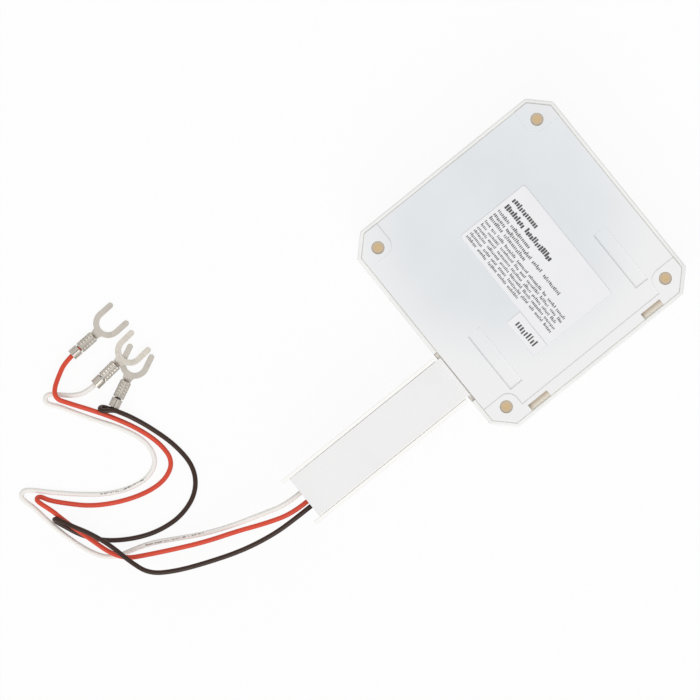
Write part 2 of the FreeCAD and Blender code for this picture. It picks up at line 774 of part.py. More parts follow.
def sense_diodes():
    """Four moulded diodes of the bridge."""
    group = []
    w, d = diode_size[:2]
    for i in range(diode_count):
        place = (diode_x, diode_y + i * diode_pitch)
        group.append(joined([centred(place, diode_size, board_top, diode_lift),
                             centred(place, (w + 2 * diode_foot, d - 2 * diode_foot, 2 * diode_lift),
                                     board_top)]))
    return Part.makeCompound(group)


def reservoir_capacitor():
    """Electrolytic can with a rolled waist."""
    x, y = capacitor_place
    top = board_top + capacitor_height
    can = post(x, y, board_top, top, capacitor_radius)
    waist = Part.makeTorus(capacitor_radius + waist_radius - waist_depth, waist_radius,
                           V(x, y, board_top + waist_height))
    return can.cut(waist).makeFillet(capacitor_round, edges_at(can, top))


def chips(spots, size, end=0.3):
    """Row of small two-terminal chips, end caps slightly proud."""
    group = []
    w, d, h = size
    for x, y in spots:
        parts = [centred((x, y), (w - 2 * end, d, h), board_top)]
        for side in (-1, 1):
            parts.append(centred((x + side * (w - end) / 2, y), (end, d + 0.04, h + 0.03), board_top))
        group.append(joined(parts))
    return Part.makeCompound(group)


def learn_switch():
    """Square push switch with a bore for its plunger."""
    x, y = switch_place
    w, d, h = switch_size
    parts = [centred(switch_place, switch_size, board_top)]
    parts.append(rounded_box(x, y, w - 0.4, d - 0.4, board_top + h, board_top + h + 0.3, 0.6))
    for sx in (-1, 1):
        for sy in (-1, 1):
            parts.append(centred((x + sx * (w / 2 + 0.2), y + sy * 2.2), (0.8, 0.7, 1.2), board_top))
    bore = post(x, y, board_top + h - bore_depth, board_top + h + 1, plunger_radius + plunger_gap)
    return joined(parts).cut(bore)


def learn_plunger():
    """Button of the switch, with its travel left free under it."""
    x, y = switch_place
    z = board_top + switch_size[2] - bore_depth + plunger_travel + 0.05
    knob = post(x, y, z, z + plunger_height, plunger_radius)
    return knob.makeFillet(plunger_round, edges_at(knob, z + plunger_height))


def status_led():
    """Domed lamp on a flange."""
    x, y = lamp_place
    return joined([post(x, y, board_top, board_top + 1.0, lamp_radius + lamp_flange),
                   post(x, y, board_top, board_top + lamp_height, lamp_radius),
                   Part.makeSphere(lamp_radius, V(x, y, board_top + lamp_height))])


def wire_header():
    """Board socket for the plug with three pins."""
    half = header_width / 2
    z1 = plug_wire_z + plug_lift - header_drop
    outer = box(clamp_x - half, clamp_x + half, header_mouth, header_back, board_top, z1)
    inside = half - header_wall
    bay = box(clamp_x - inside, clamp_x + inside, header_mouth - 1, plug_front + 0.2,
              board_top + header_wall, z1 - header_wall)
    pins = [box(x - pin_half, x + pin_half, header_mouth + 0.3, plug_front + 0.7,
                plug_wire_z - pin_half, plug_wire_z + pin_half) for x in lead_inner_x.values()]
    return joined([outer.cut(bay)] + pins)


def wire_plug():
    """Housing crimped onto the three inner leads."""
    half = plug_width / 2
    low = board_top + header_wall + plug_wall
    high = plug_wire_z + plug_lift - header_drop - header_wall - plug_wall
    body = box(clamp_x - half, clamp_x + half, plug_rear, plug_front, low, high)
    rib = box(clamp_x - 2.0, clamp_x + 2.0, plug_rear, header_mouth - 0.7, high - 0.1, high + 0.7)
    sockets = [box(x - socket_half, x + socket_half, header_mouth - 0.5, plug_front + 1,
                   plug_wire_z - socket_half, plug_wire_z + socket_half) for x in lead_inner_x.values()]
    return joined([body, rib]).cut(sockets)


def inner_lead(colour):
    """Lead inside duct and case, from the duct mouth to the plug."""
    xe, xc = lead_exits[colour], lead_inner_x[colour]
    route = [(xe, lead_exit_y, duct_wire_z), (xe, lead_exit_y + 16.0, duct_wire_z),
             (xc, channel_start - 9.0, duct_wire_z), (xc + 0.02, bridge_y1 + 5.9, duct_wire_z),
             (xc, plug_rear - 6.0, plug_wire_z), (xc, plug_rear, plug_wire_z)]
    return tube(route, wire_radius, colour + "_lead_inner")


def free_lead(colour):
    """Lead outside the duct, level at the mouth and then down to the table."""
    x = lead_exits[colour]
    route = [(x, lead_exit_y, duct_wire_z), (x, lead_exit_y - lead_straight, duct_wire_z)]
    route += [(px, lead_exit_y + py, pz) for px, py, pz in ROUTES[colour]]
    return tube(route, wire_radius, colour + "_lead")


def fork(colour):
    """Crimp fork: insulation crimp, serrated wire barrel, neck and two tines."""
    axis = crimp_radius
    ring = Part.makeCylinder(crimp_radius, crimp_length, V(0, 0, axis), V(1, 0, 0))
    base = box(0, neck_end, -neck_half, neck_half, 0, sheet)
    w, h = barrel_width / 2, barrel_height
    lobe = h - w * 0.62
    core = box(barrel_start, barrel_end, -w, w, 0, lobe)
    core = core.makeFillet(0.6, [e for e in edges_at(core, 0) if e.Length > barrel_width + 1])
    length = barrel_end - barrel_start
    lobes = [Part.makeCylinder(w / 2, length, V(barrel_start, s * w / 2, h - w / 2), V(1, 0, 0))
             for s in (-1, 1)]
    filler = box(barrel_start, barrel_end, -w / 2, w / 2, 0.5, h - crease_depth)
    barrel = core.fuse(lobes + [filler])
    ribs = []
    for i in range(serration_count):
        x = barrel_start + serration_pitch / 2 + i * serration_pitch
        groove = box(x, x + serration_width, -w - 1, w + 1, serration_foot, h + 1)
        kept = box(x - 1, x + 1, serration_side - w, w - serration_side, 0, h - serration_depth)
        ribs.append(groove.cut(kept))
    barrel = barrel.cut(ribs)
    mouth = box(barrel_end - 0.1, barrel_end + 0.6, -w * 0.8, w * 0.8, 0, h * 0.62)
    neck_points = [V(barrel_end, -neck_root, 0), V(tongue_end, -neck_flare, 0),
                   V(tongue_end, neck_flare, 0), V(barrel_end, neck_root, 0)]
    neck = Part.Face(Part.makePolygon(neck_points + neck_points[:1])).extrude(V(0, 0, sheet))
    width = fork_outer - fork_inner
    disc = post(fork_centre, 0, 0, sheet, fork_outer)
    arms = box(fork_centre, fork_length - width / 2, -fork_outer, fork_outer, 0, sheet)
    tips = [post(fork_length - width / 2, s * (fork_outer - width / 2), 0, sheet, width / 2)
            for s in (-1, 1)]
    tongue = disc.fuse([arms] + tips)
    gap = post(fork_centre, 0, -1, sheet + 1, fork_inner)
    gap = gap.fuse(box(fork_centre, fork_length + 5, -fork_inner, fork_inner, -1, sheet + 1))
    tongue = tongue.cut(gap)
    body = joined([base, ring, barrel, mouth, neck, tongue])
    bore = wire_radius + crimp_gap
    hole = Part.makeCylinder(bore, barrel_start + 1.1, V(-1, 0, axis), V(1, 0, 0))
    bell = Part.makeCone(bore + crimp_flare, bore, crimp_length / 2, V(-0.01, 0, axis), V(1, 0, 0))
    slit = box(-1, crimp_length + 0.2, -0.1, 0.1, axis + bore + crimp_flare + 0.1, axis + crimp_radius + 1)
    body = body.cut([hole, bell, slit])
    x, y, heading, rise = TERMINALS[colour]
    body.rotate(V(0, 0, 0), V(0, 1, 0), -rise)
    body.rotate(V(0, 0, 0), V(0, 0, 1), heading)
    body.translate(V(x, lead_exit_y + y, 0))
    return body


if __name__ == "__main__":
    save("front_cover", front_cover())
    save("back_plate", back_plate())
    save("rating_label", sticker(label_size, label_centre, label_corner, label_thickness))
    save("date_sticker", sticker(date_size, date_centre, date_corner, date_thickness))
    save("duct_base", duct_base())
    save("duct_cover", duct_cover())
    save("wire_clamp", wire_clamp())
    save("clamp_screws", clamp_screws())
    save("circuit_board", circuit_board())
    save("board_screws", board_screws())
    save("battery_holder", battery_holder())
    save("battery_cell", battery_cell())
    save("battery_wrap", battery_wrap())
    save("positive_contact", leaf(1, cell_half_length + cap_length))
    save("negative_contact", leaf(-1, cell_half_length))
    save("radio_module", radio_module())
    save("shield_can", shield_can())
    save("antenna_wire", antenna_wire())
    save("microcontroller", microcontroller())
    save("crystal", crystal())
    save("optocouplers", optocouplers())
    save("power_resistors", power_resistors())
    save("sense_diodes", sense_diodes())
    save("reservoir_capacitor", reservoir_capacitor())
    row = [(chip_place[0] - 5.5 + i * 2.4, chip_place[1] - 5.9) for i in range(5)]
    save("chip_capacitors", chips(row, small_capacitor))
    column = [(coupler_x + 5.0, coupler_ys[0] - 5.0 + i * 2.2) for i in range(8)]
    save("chip_resistors", chips(column, small_resistor))
    save("learn_switch", learn_switch())
    save("learn_plunger", learn_plunger())
    save("status_led", status_led())
    save("wire_header", wire_header())
    save("wire_plug", wire_plug())
    for colour in ("white", "red", "black"):
        save(colour + "_lead_inner", inner_lead(colour))
        save(colour + "_lead", free_lead(colour))
        save(colour + "_terminal", fork(colour))
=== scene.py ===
"""Dresses the wall-mounted chime transmitter: leads, finishes, print, small fittings and the studio."""

import json
import math
import random

import bmesh
import bpy
from mathutils import Matrix, Vector


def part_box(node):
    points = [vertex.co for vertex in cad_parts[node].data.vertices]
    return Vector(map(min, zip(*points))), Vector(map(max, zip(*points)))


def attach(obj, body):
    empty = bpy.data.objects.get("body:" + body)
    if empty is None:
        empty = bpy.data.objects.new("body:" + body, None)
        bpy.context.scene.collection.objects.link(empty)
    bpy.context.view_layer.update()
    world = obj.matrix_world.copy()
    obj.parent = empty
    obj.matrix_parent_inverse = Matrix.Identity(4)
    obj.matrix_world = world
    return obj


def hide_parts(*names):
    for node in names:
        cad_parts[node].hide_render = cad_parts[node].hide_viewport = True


bl_info = {
    "name": "Chime transmitter dressing",
    "version": (1, 0, 0),
    "blender": (4, 5, 0),
    "location": "3D View > Sidebar > Transmitter",
    "description": "Finishes, leads, label print and studio for a wall-mounted chime transmitter",
    "category": "Object",
}

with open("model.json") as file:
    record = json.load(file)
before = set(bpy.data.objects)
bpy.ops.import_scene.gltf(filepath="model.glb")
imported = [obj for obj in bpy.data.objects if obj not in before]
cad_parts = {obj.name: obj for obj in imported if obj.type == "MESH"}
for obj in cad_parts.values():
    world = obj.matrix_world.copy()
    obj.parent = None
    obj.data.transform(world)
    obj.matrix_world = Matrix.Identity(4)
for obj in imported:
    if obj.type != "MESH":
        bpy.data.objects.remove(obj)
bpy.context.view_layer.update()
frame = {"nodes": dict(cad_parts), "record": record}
MM = 0.001
EAST = Vector((1.0, 0.0, 0.0))
UP = Vector((0.0, 0.0, 1.0))
BLACK = (0.0, 0.0, 0.0)
WHITE = (1.0, 1.0, 1.0)


def srgb(red, green, blue):
    """Scene-linear colour of an 8 bit display colour."""
    steps = (red / 255, green / 255, blue / 255)
    return tuple(s / 12.92 if s <= 0.04045 else ((s + 0.055) / 1.055) ** 2.4 for s in steps)


def colour_property(label, text, value):
    return bpy.props.FloatVectorProperty(
        name=label, description=text, default=value, subtype="COLOR", size=3, min=0.0, max=1.0
    )


def length_property(label, text, millimetres):
    return bpy.props.FloatProperty(
        name=label, description=text, default=millimetres * MM, unit="LENGTH", precision=5
    )


def share_property(label, text, value, top=1.0):
    return bpy.props.FloatProperty(name=label, description=text, default=value, min=0.0, max=top)


class TransmitterColours(bpy.types.PropertyGroup):
    """Colours of the parts that show."""

    case: colour_property("Housing", "Outer housing and its rim", srgb(240, 240, 238))
    plate: colour_property("Plate middle", "Cool grey of the back plate", srgb(228, 231, 234))
    # Painted light: lighter shade round the plate's middle
    plate_lit_rim: colour_property("Plate rim", "Lighter shade round it", srgb(241, 241, 241))
    # Painted warm shade, used on the ears of the duct
    hollow: colour_property("Hollows", "Warm shade of deep notches", srgb(205, 188, 164))
    # Painted shade in the pry notches, darker inside and paler at the edge
    pry_deep_shade: colour_property("Pry notch", "Inner side of the two notches", srgb(190, 176, 158))
    pry_edge_shade: colour_property("Pry notch edge", "Outer side of the two notches", srgb(243, 237, 223))
    duct: colour_property("Duct", "Wiring duct and its cover", srgb(240, 239, 239))
    # Painted light on the edges of the duct's cover
    duct_lit_rim: colour_property("Duct rim", "Edges of the duct's cover", srgb(253, 252, 249))
    clamp: colour_property("Lead clamp", "Bar that grips the leads", srgb(226, 226, 222))
    seal: colour_property("Hole seals", "Tan discs in the screw holes", srgb(216, 184, 130))
    # Painted shade on the rims of the discs
    seal_rim_shade: colour_property("Hole seal rims", "Shaded rims of those discs", srgb(202, 184, 161))
    label: colour_property("Label film", "Rating label and date sticker", srgb(240, 240, 242))
    ink: colour_property("Ink", "Dark print on the stickers", srgb(62, 60, 60))
    white_lead: colour_property("White lead", "Insulation of the white lead", srgb(240, 237, 232))
    red_lead: colour_property("Red lead", "Insulation of the red lead", srgb(217, 73, 49))
    black_lead: colour_property("Black lead", "Insulation of the black lead", srgb(50, 27, 15))
    terminal: colour_property("Fork terminals", "Tin plate of the forks", srgb(182, 176, 167))
    board: colour_property("Circuit board", "Green solder mask", srgb(30, 96, 58))


class TransmitterSizes(bpy.types.PropertyGroup):
    """Sizes of the leads, the print and the edges."""

    lead_radius: length_property("Lead radius", "Outside radius of one lead", 0.78)
    strand_radius: length_property("Strand radius", "Radius of one copper strand", 0.12)
    edge_radius: length_property("Edge radius", "Softening seen on moulded edges", 0.25)
    seal_radius: length_property("Seal radius", "Radius of the discs in the screw holes", 2.02)
    seal_drop: length_property("Seal drop", "How far the discs lie below the plate's face", 0.35)
    title_height: length_property("Title height", "Height of the bold strokes", 1.9)
    line_height: length_property("Line height", "Height of the small print", 1.0)
    ink_depth: length_property("Ink depth", "Thickness of the print", 0.02)


class TransmitterStudio(bpy.types.PropertyGroup):
    """Camera, lamps and floor."""

    lens: bpy.props.FloatProperty(
        name="Lens", description="Focal length of the long lens", default=1.2, unit="LENGTH"
    )
    frame_width: length_property("Frame width", "Width that the picture shows", 222.6)
    sky: share_property("Sky", "Light from all round", 0.68, 2.0)
    sun: share_property("Lamp", "Strength of the soft lamp", 1.15, 10.0)
    shadow: share_property("Shadow share", "How much of the shadow the floor keeps", 0.08)


class Value:
    """A number socket that takes part in arithmetic by adding Math nodes."""

    def __init__(self, graph, socket):
        self.graph = graph
        self.socket = socket

    def math(self, operation, *others):
        sockets = {i: value for i, value in enumerate((self, *others))}
        node = self.graph.node("ShaderNodeMath", {"operation": operation}, sockets)
        return Value(self.graph, node.outputs[0])

    def reflected(self, operation, other):
        node = self.graph.node("ShaderNodeMath", {"operation": operation}, {0: other, 1: self})
        return Value(self.graph, node.outputs[0])

    def __add__(self, other):
        return self.math("ADD", other)

    def __sub__(self, other):
        return self.math("SUBTRACT", other)

    def __mul__(self, other):
        return self.math("MULTIPLY", other)

    def __truediv__(self, other):
        return self.math("DIVIDE", other)

    def __pow__(self, other):
        return self.math("POWER", other)

    def __radd__(self, other):
        return self.reflected("ADD", other)

    def __rsub__(self, other):
        return self.reflected("SUBTRACT", other)

    def __rmul__(self, other):
        return self.reflected("MULTIPLY", other)

    def __rtruediv__(self, other):
        return self.reflected("DIVIDE", other)

    def __abs__(self):
        return self.math("ABSOLUTE")

    def __gt__(self, other):
        return self.math("GREATER_THAN", other)

    def __lt__(self, other):
        return self.math("LESS_THAN", other)


class Graph:
    """Emptied node tree of a material or of the world."""

    def __init__(self, owner):
        owner.use_nodes = True
        self.owner = owner
        self.tree = owner.node_tree
        self.tree.nodes.clear()
        self.coordinates = None

    def node(self, kind, settings=None, sockets=None):
        """Adds one node: its settings first, then the values or links of its sockets."""
        node = self.tree.nodes.new(kind)
        for key, value in (settings or {}).items():
            setattr(node, key, value)
        for key, value in (sockets or {}).items():
            self.fill(node.inputs[key], value)
        return node

    def fill(self, socket, value):
        if isinstance(value, Value):
            value = value.socket
        if isinstance(value, bpy.types.NodeSocket):
            self.tree.links.new(value, socket)
        elif socket.type == "RGBA":
            socket.default_value = (*tuple(value)[:3], 1.0)
        else:
            socket.default_value = value

    def place(self):
        """Place on the object, in metres."""
        if self.coordinates is None:
            self.coordinates = self.node("ShaderNodeTexCoord").outputs["Object"]
        return self.coordinates

    def axes(self):
        """The place's three coordinates in millimetres."""
        parts = self.node("ShaderNodeSeparateXYZ", None, {0: self.place()})
        return [Value(self, output) / MM for output in parts.outputs]

    def stretched(self, scale, turn=0.0):
        """The place with its axes scaled, then turned about Z by an angle in radians."""
        settings = {"vector_type": "POINT"}
        sockets = {"Vector": self.place(), "Rotation": (0.0, 0.0, turn), "Scale": scale}
        return self.node("ShaderNodeMapping", settings, sockets).outputs[0]

    def noise(self, size, detail=2.0, vector=None):
        """Soft random field whose marks are about size millimetres."""
        sockets = {"Vector": vector or self.place(), "Scale": 1 / (size * MM), "Detail": detail}
        return Value(self, self.node("ShaderNodeTexNoise", None, sockets).outputs[0])

    def cells(self, size):
        """Distance to the nearest of many scattered points, about size millimetres apart."""
        sockets = {"Vector": self.place(), "Scale": 1 / (size * MM)}
        return Value(self, self.node("ShaderNodeTexVoronoi", None, sockets).outputs["Distance"])

    def rise(self, value, low, high):
        """0 below low, 1 above high, smooth between them."""
        settings = {"interpolation_type": "SMOOTHSTEP"}
        sockets = {"Value": value, "From Min": low, "From Max": high}
        return Value(self, self.node("ShaderNodeMapRange", settings, sockets).outputs[0])

    def mix(self, factor, first, second):
        """Colour between two colours."""
        sockets = {0: factor, 6: first, 7: second}
        return self.node("ShaderNodeMix", {"data_type": "RGBA"}, sockets).outputs[2]

    def soft_edges(self, radius):
        """Normal that rounds the edges, and a mask that is 1 on them."""
        bevel = self.node("ShaderNodeBevel", {"samples": 4}, {"Radius": radius}).outputs[0]
        true_normal = self.node("ShaderNodeNewGeometry").outputs["Normal"]
        settings = {"operation": "DOT_PRODUCT"}
        dot = self.node("ShaderNodeVectorMath", settings, {0: bevel, 1: true_normal})
        return bevel, self.rise(1 - Value(self, dot.outputs["Value"]), 0.005, 0.12)

    def crevice(self, reach, alone=True):
        """0 in the open and 1 deep in a crevice; alone leaves all other pieces out."""
        settings = {"samples": 6, "only_local": alone}
        node = self.node("ShaderNodeAmbientOcclusion", settings, {"Distance": reach * MM})
        return 1 - Value(self, node.outputs["AO"])

    def within(self, spans, soft=0.1):
        """1 in the box of three (low, high) spans in millimetres; a span of None is open."""
        mask = None
        for axis, span in zip(self.axes(), spans):
            if span is not None:
                part = self.rise(axis, span[0], span[0] + soft) * self.rise(span[1] - axis, 0.0, soft)
                mask = part if mask is None else mask * part
        return mask

    def away(self, centre, reach):
        """0 round a centre and 1 beyond its reach, both given along X and Y in millimetres."""
        x, y = self.axes()[:2]
        sides = ((x - centre[0]) / reach[0]) ** 2.0 + ((y - centre[1]) / reach[1]) ** 2.0
        return self.rise(sides, 0.35, 1.35)

    def relief(self, height, depth, normal=None):
        """Normal of a surface that stands proud by depth millimetres where height is 1."""
        sockets = {"Height": height, "Distance": depth * MM, "Strength": 1.0}
        if normal is not None:
            sockets["Normal"] = normal
        return self.node("ShaderNodeBump", None, sockets).outputs[0]

    def surface(self, **sockets):
        """The closing surface shader; underscores in names stand for spaces."""
        shader = self.node("ShaderNodeBsdfPrincipled")
        for key, value in sockets.items():
            self.fill(shader.inputs[key.replace("_", " ")], value)
        self.node("ShaderNodeOutputMaterial", None, {0: shader.outputs[0]})
        return self.owner


def new_graph(name):
    """Graph of a new material."""
    return Graph(bpy.data.materials.new(name))


def shaded(colour, share, limit=1.0):
    """The colour made darker or lighter, none of its parts above the limit."""
    return tuple(min(limit, c * share) for c in colour)


def moulded(
    name, colour, roughness=0.42, grain=0.3, depth=0.006, spread=0.03, edge=0.25, coat=0.0, finish=None
):
    """Moulded plastic: fine grain, slow shade changes, light scuffs and softened, paler edges."""
    g = new_graph(name)
    bevel, edges = g.soft_edges(edge * MM)
    clouds = g.rise(g.noise(24.0, 3.0), 0.3, 0.7)
    fine = g.noise(grain, 3.0)
    scuffs = g.rise(g.noise(2.2, 2.0, g.stretched((1.0, 0.12, 1.0), 0.6)), 0.66, 0.78)
    specks = g.rise(g.noise(0.9, 2.0), 0.74, 0.8)
    base = g.mix(clouds, shaded(colour, 1 - spread), shaded(colour, 1 + spread))
    base = g.mix(edges * 0.35, base, shaded(colour, 1.12))
    base = g.mix(specks * 0.12, base, shaded(colour, 0.7))
    # Painted glow for the seams, black unless a finish gives one
    seam_glow = BLACK
    if finish is not None:
        base, seam_glow = finish(g, base)
    rough = roughness + (fine - 0.5) * 0.12 + scuffs * 0.14 - edges * 0.05
    height = fine + g.noise(grain * 4, 2.0) * 0.6 - scuffs * 0.3
    normal = g.relief(height, depth, bevel)
    return g.surface(
        Base_Color=base,
        Roughness=rough,
        Normal=normal,
        Coat_Weight=coat,
        Coat_Roughness=0.25,
        # Painted glow in the seams
        Emission_Color=seam_glow,
        Emission_Strength=0.2,
    )


# Painted glow for the seams of white plastic, in place of light that passes through it, and the neutral
# colour painted into the one seam that keeps little of that glow, so that it shows as a shadow line
SEAM_LIGHT = srgb(206, 198, 186)
SEAM_SHADE = srgb(232, 232, 231)


def fading(first, second, start, end):
    """Tint that goes over from one colour to another along X, from start to end in millimetres."""

    def tint(g):
        return g.mix(g.rise(g.axes()[0], start, end), first, second)

    return tint


def seam_glow_finish(patches=(), middle=None, dark=None, bright=None):
    """Finish of thin white plastic: painted glow in its seams in place of light that passes through it, a
    painted lighter shade round the middle, and patches with their own painted tint of light or shade.

    The seam in the dark span keeps little glow and takes a neutral colour, so it keeps its shadow line; the
    seam in the bright span glows four times as strongly, a painted light that all but hides it.
    """

    def finish(g, base):
        # Painted lighter shade round the middle
        if middle is not None:
            lighter, centre, reach = middle
            base = g.mix(g.away(centre, reach), base, lighter)
        # Patches of painted light or shade
        for spans, tint in patches:
            base = g.mix(g.within(spans), base, tint(g) if callable(tint) else tint)
        # Painted glow deep in crevices, from an occlusion mask
        seams = g.rise(g.crevice(1.2, False), 0.5, 0.95)
        # Dark span: neutral colour and little glow, so the seam keeps its shadow line
        if dark is not None:
            shade = g.within(dark)
            base = g.mix(shade, base, SEAM_SHADE)
            seams = seams * (1 - shade * 0.8)
        # Bright span: four times the glow, painted light that all but hides the seam
        light = SEAM_LIGHT
        if bright is not None:
            light = g.mix(g.within(bright), SEAM_LIGHT, shaded(SEAM_LIGHT, 4.0, 4.0))
        return base, g.mix(seams, BLACK, light)

    return finish


def plated(
    name, colour, roughness=0.3, grain=0.4, depth=0.004, dull=0.25, edge=0.12, turn=0.0, hollow_darkening=0.0
):
    """Plated sheet or wire: rolled streaks, dull patches, rubbed edges, and darker brown in the hollows."""
    g = new_graph(name)
    bevel, edges = g.soft_edges(edge * MM)
    streaks = g.noise(grain, 3.0, g.stretched((0.08, 1.0, 1.0), turn))
    patches = g.rise(g.noise(3.0, 4.0), 0.42, 0.68)
    pits = g.rise(g.noise(0.25, 2.0), 0.66, 0.8)
    base = g.mix(patches * dull, shaded(colour, 1.08), shaded(colour, 0.66))
    base = g.mix(edges * 0.5, base, shaded(colour, 1.25))
    base = g.mix(pits * 0.35, base, shaded(colour, 0.5))
    # Darker brown where an occlusion mask finds hollows
    if hollow_darkening:
        hollow = g.crevice(1.2)
        base = g.mix(g.rise(hollow, 0.15, 0.75) * hollow_darkening, base, srgb(92, 76, 62))
    rough = roughness + (streaks - 0.5) * 0.2 + patches * 0.14 - edges * 0.08
    normal = g.relief(streaks + patches * 0.5 - pits, depth, bevel)
    return g.surface(Base_Color=base, Roughness=rough, Metallic=1.0, Normal=normal)


def lead_marks(g, runs):
    """Faint broken strokes along straight runs of a lead."""
    x, y = g.axes()[:2]
    marks = None
    for (x0, y0), (x1, y1) in runs:
        length = math.hypot(x1 - x0, y1 - y0)
        east, north = (x1 - x0) / length, (y1 - y0) / length
        dx, dy = x - x0, y - (y0 + LEAD_START_Y)
        along = dx * east + dy * north
        across = abs(dx * north - dy * east)
        ends = g.rise(along, 0.0, 0.3) * g.rise(length - along, 0.0, 0.3)
        stroke = ends * (1 - g.rise(across, 0.12, 0.3))
        marks = stroke if marks is None else marks + stroke
    return marks * g.rise(g.noise(0.55, 1.0), 0.4, 0.55)


def insulation(name, colour, shine=0.34, runs=()):
    """Extruded lead insulation: satin gloss, fine drag marks, small dents, dust and faint print."""
    g = new_graph(name)
    clouds = g.noise(9.0, 3.0)
    drag = g.noise(0.35, 3.0)
    dents = g.rise(g.cells(5.0), 0.0, 0.22)
    dust = g.rise(g.noise(0.5, 3.0), 0.68, 0.8)
    base = g.mix(clouds, shaded(colour, 0.9), shaded(colour, 1.1))
    base = g.mix(dust * 0.1, base, srgb(200, 190, 180))
    if runs:
        base = g.mix(lead_marks(g, runs) * 0.8, base, srgb(96, 90, 82))
    rough = shine + (drag - 0.5) * 0.14 + dust * 0.2
    normal = g.relief(drag * 0.35 + dents, 0.02)
    return g.surface(Base_Color=base, Roughness=rough, Normal=normal, Specular_IOR_Level=0.3)


def film(name, colour):
    """Satin label film with faint fibres, a slightly grey cut edge and a few trapped bubbles."""
    g = new_graph(name)
    bevel, edges = g.soft_edges(0.3 * MM)
    fibres = g.noise(0.5, 4.0, g.stretched((1.0, 0.3, 1.0), 0.4))
    tone = g.noise(8.0, 3.0)
    bubbles = g.rise(g.cells(7.5), 0.0, 0.09)
    base = g.mix(tone, shaded(colour, 0.975), shaded(colour, 1.02))
    base = g.mix(edges * 0.5, base, shaded(colour, 0.8))
    base = g.mix(g.rise(fibres, 0.6, 0.75) * 0.15, base, shaded(colour, 0.85))
    normal = g.relief(fibres * 0.2 - bubbles, 0.02, bevel)
    rough = 0.36 + (fibres - 0.5) * 0.16
    return g.surface(Base_Color=base, Roughness=rough, Normal=normal, Coat_Weight=0.2, Coat_Roughness=0.3)


def pressed_board(name, colour, rim, hole):
    """Tan pressed board: short fibres and small pits, and painted shade on the rim of each of the four discs,
    where the hole's wall shades it.

    The discs lie hole millimetres from the middle along X and along Y.
    """
    g = new_graph(name)
    x, y = g.axes()[:2]
    distance = ((abs(x) - hole) ** 2.0 + (abs(y) - hole) ** 2.0) ** 0.5
    fibres = g.noise(0.35, 4.0, g.stretched((1.0, 0.25, 1.0), 0.9))
    pits = g.rise(g.noise(0.5, 2.0), 0.62, 0.74)
    # Painted shade towards each disc's rim
    tan = g.mix(g.rise(distance, 0.5, 1.9), colour, rim)
    base = g.mix(fibres, g.mix(0.14, tan, BLACK), g.mix(0.08, tan, WHITE))
    base = g.mix(pits * 0.16, base, BLACK)
    normal = g.relief(fibres - pits, 0.02)
    return g.surface(Base_Color=base, Roughness=0.7 + (fibres - 0.5) * 0.2, Normal=normal)


def printed(name, colour):
    """Thermal print: dark, broken up at the scale of a pen stroke."""
    g = new_graph(name)
    breaks = g.rise(g.noise(0.3, 3.0), 0.35, 0.62)
    base = g.mix(breaks, shaded(colour, 0.7), shaded(colour, 2.4))
    return g.surface(Base_Color=base, Roughness=0.5 + breaks * 0.2)


def solder_mask(name, colour):
    """Circuit board: bundles of tracks under green mask, small gilt vias, cloudy tone, pale cut edge."""
    g = new_graph(name)
    x, y, z = g.axes()
    low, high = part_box("circuit_board")
    middle, half = (high[2] + low[2]) / 2 / MM, (high[2] - low[2]) / 2 / MM
    patch, pitch = 5.5, 1.1

    def whole(value):
        return (value / patch).math("FLOOR")

    cell = g.node("ShaderNodeCombineXYZ", None, {0: whole(x), 1: whole(y), 2: 0.0}).outputs[0]
    draw = g.node("ShaderNodeTexWhiteNoise", {"noise_dimensions": "3D"}, {"Vector": cell})
    chance = Value(g, draw.outputs["Value"])
    along_x = abs((y * math.tau / pitch).math("SINE")) > 0.72
    along_y = abs((x * math.tau / pitch).math("SINE")) > 0.72
    tracks = along_x * (chance < 0.45) + along_y * (chance > 0.62)
    vias = 1 - g.rise(g.cells(2.6), 0.1, 0.13)
    face = abs(z - middle) > half - 0.05
    base = g.mix(tracks * 0.55, colour, shaded(colour, 1.5))
    base = g.mix(vias * 0.7, base, srgb(196, 190, 150))
    base = g.mix(1 - face, base, srgb(186, 170, 112))
    base = g.mix(g.rise(g.noise(12.0, 3.0), 0.4, 0.7) * 0.2, base, shaded(colour, 0.6))
    normal = g.relief(tracks * 0.8 + g.noise(0.5, 2.0) * 0.3, 0.03)
    rough = 0.32 + g.noise(3.0, 3.0) * 0.14
    return g.surface(Base_Color=base, Roughness=rough, Normal=normal, Coat_Weight=0.3, Coat_Roughness=0.15)


def banded(name):
    """Lacquered power resistors with colour rings and bare tinned legs."""
    low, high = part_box("power_resistors")
    middle = (low[0] + high[0]) / 2 / MM
    ring_half, body_half = 0.34, 5.0
    rings = {-2.6: srgb(150, 84, 40), -1.3: srgb(40, 36, 34), 0.0: srgb(176, 48, 36), 2.6: srgb(196, 156, 70)}
    g = new_graph(name)
    x = g.axes()[0]
    base = g.mix(g.noise(2.0, 3.0), srgb(150, 176, 186), srgb(176, 200, 206))
    for offset, colour in rings.items():
        ring = 1 - g.rise(abs(x - (middle + offset)), ring_half, ring_half + 0.08)
        base = g.mix(ring, base, colour)
    legs = g.rise(abs(x - middle), body_half, body_half + 0.08)
    base = g.mix(legs, base, srgb(190, 188, 182))
    normal = g.relief(g.noise(1.2, 2.0), 0.05)
    rough = 0.28 + legs * 0.1 + g.noise(0.8, 2.0) * 0.1
    return g.surface(Base_Color=base, Metallic=legs, Roughness=rough, Normal=normal, Coat_Weight=0.3)


def tinted(name, colour):
    """Tinted clear lamp body with a faint haze."""
    g = new_graph(name)
    haze = g.noise(0.8, 3.0)
    base = g.mix(haze, shaded(colour, 0.85), shaded(colour, 1.15))
    normal = g.relief(haze, 0.01)
    return g.surface(
        Base_Color=base, Roughness=0.08 + haze * 0.08, Normal=normal, Transmission_Weight=0.55, IOR=1.5
    )


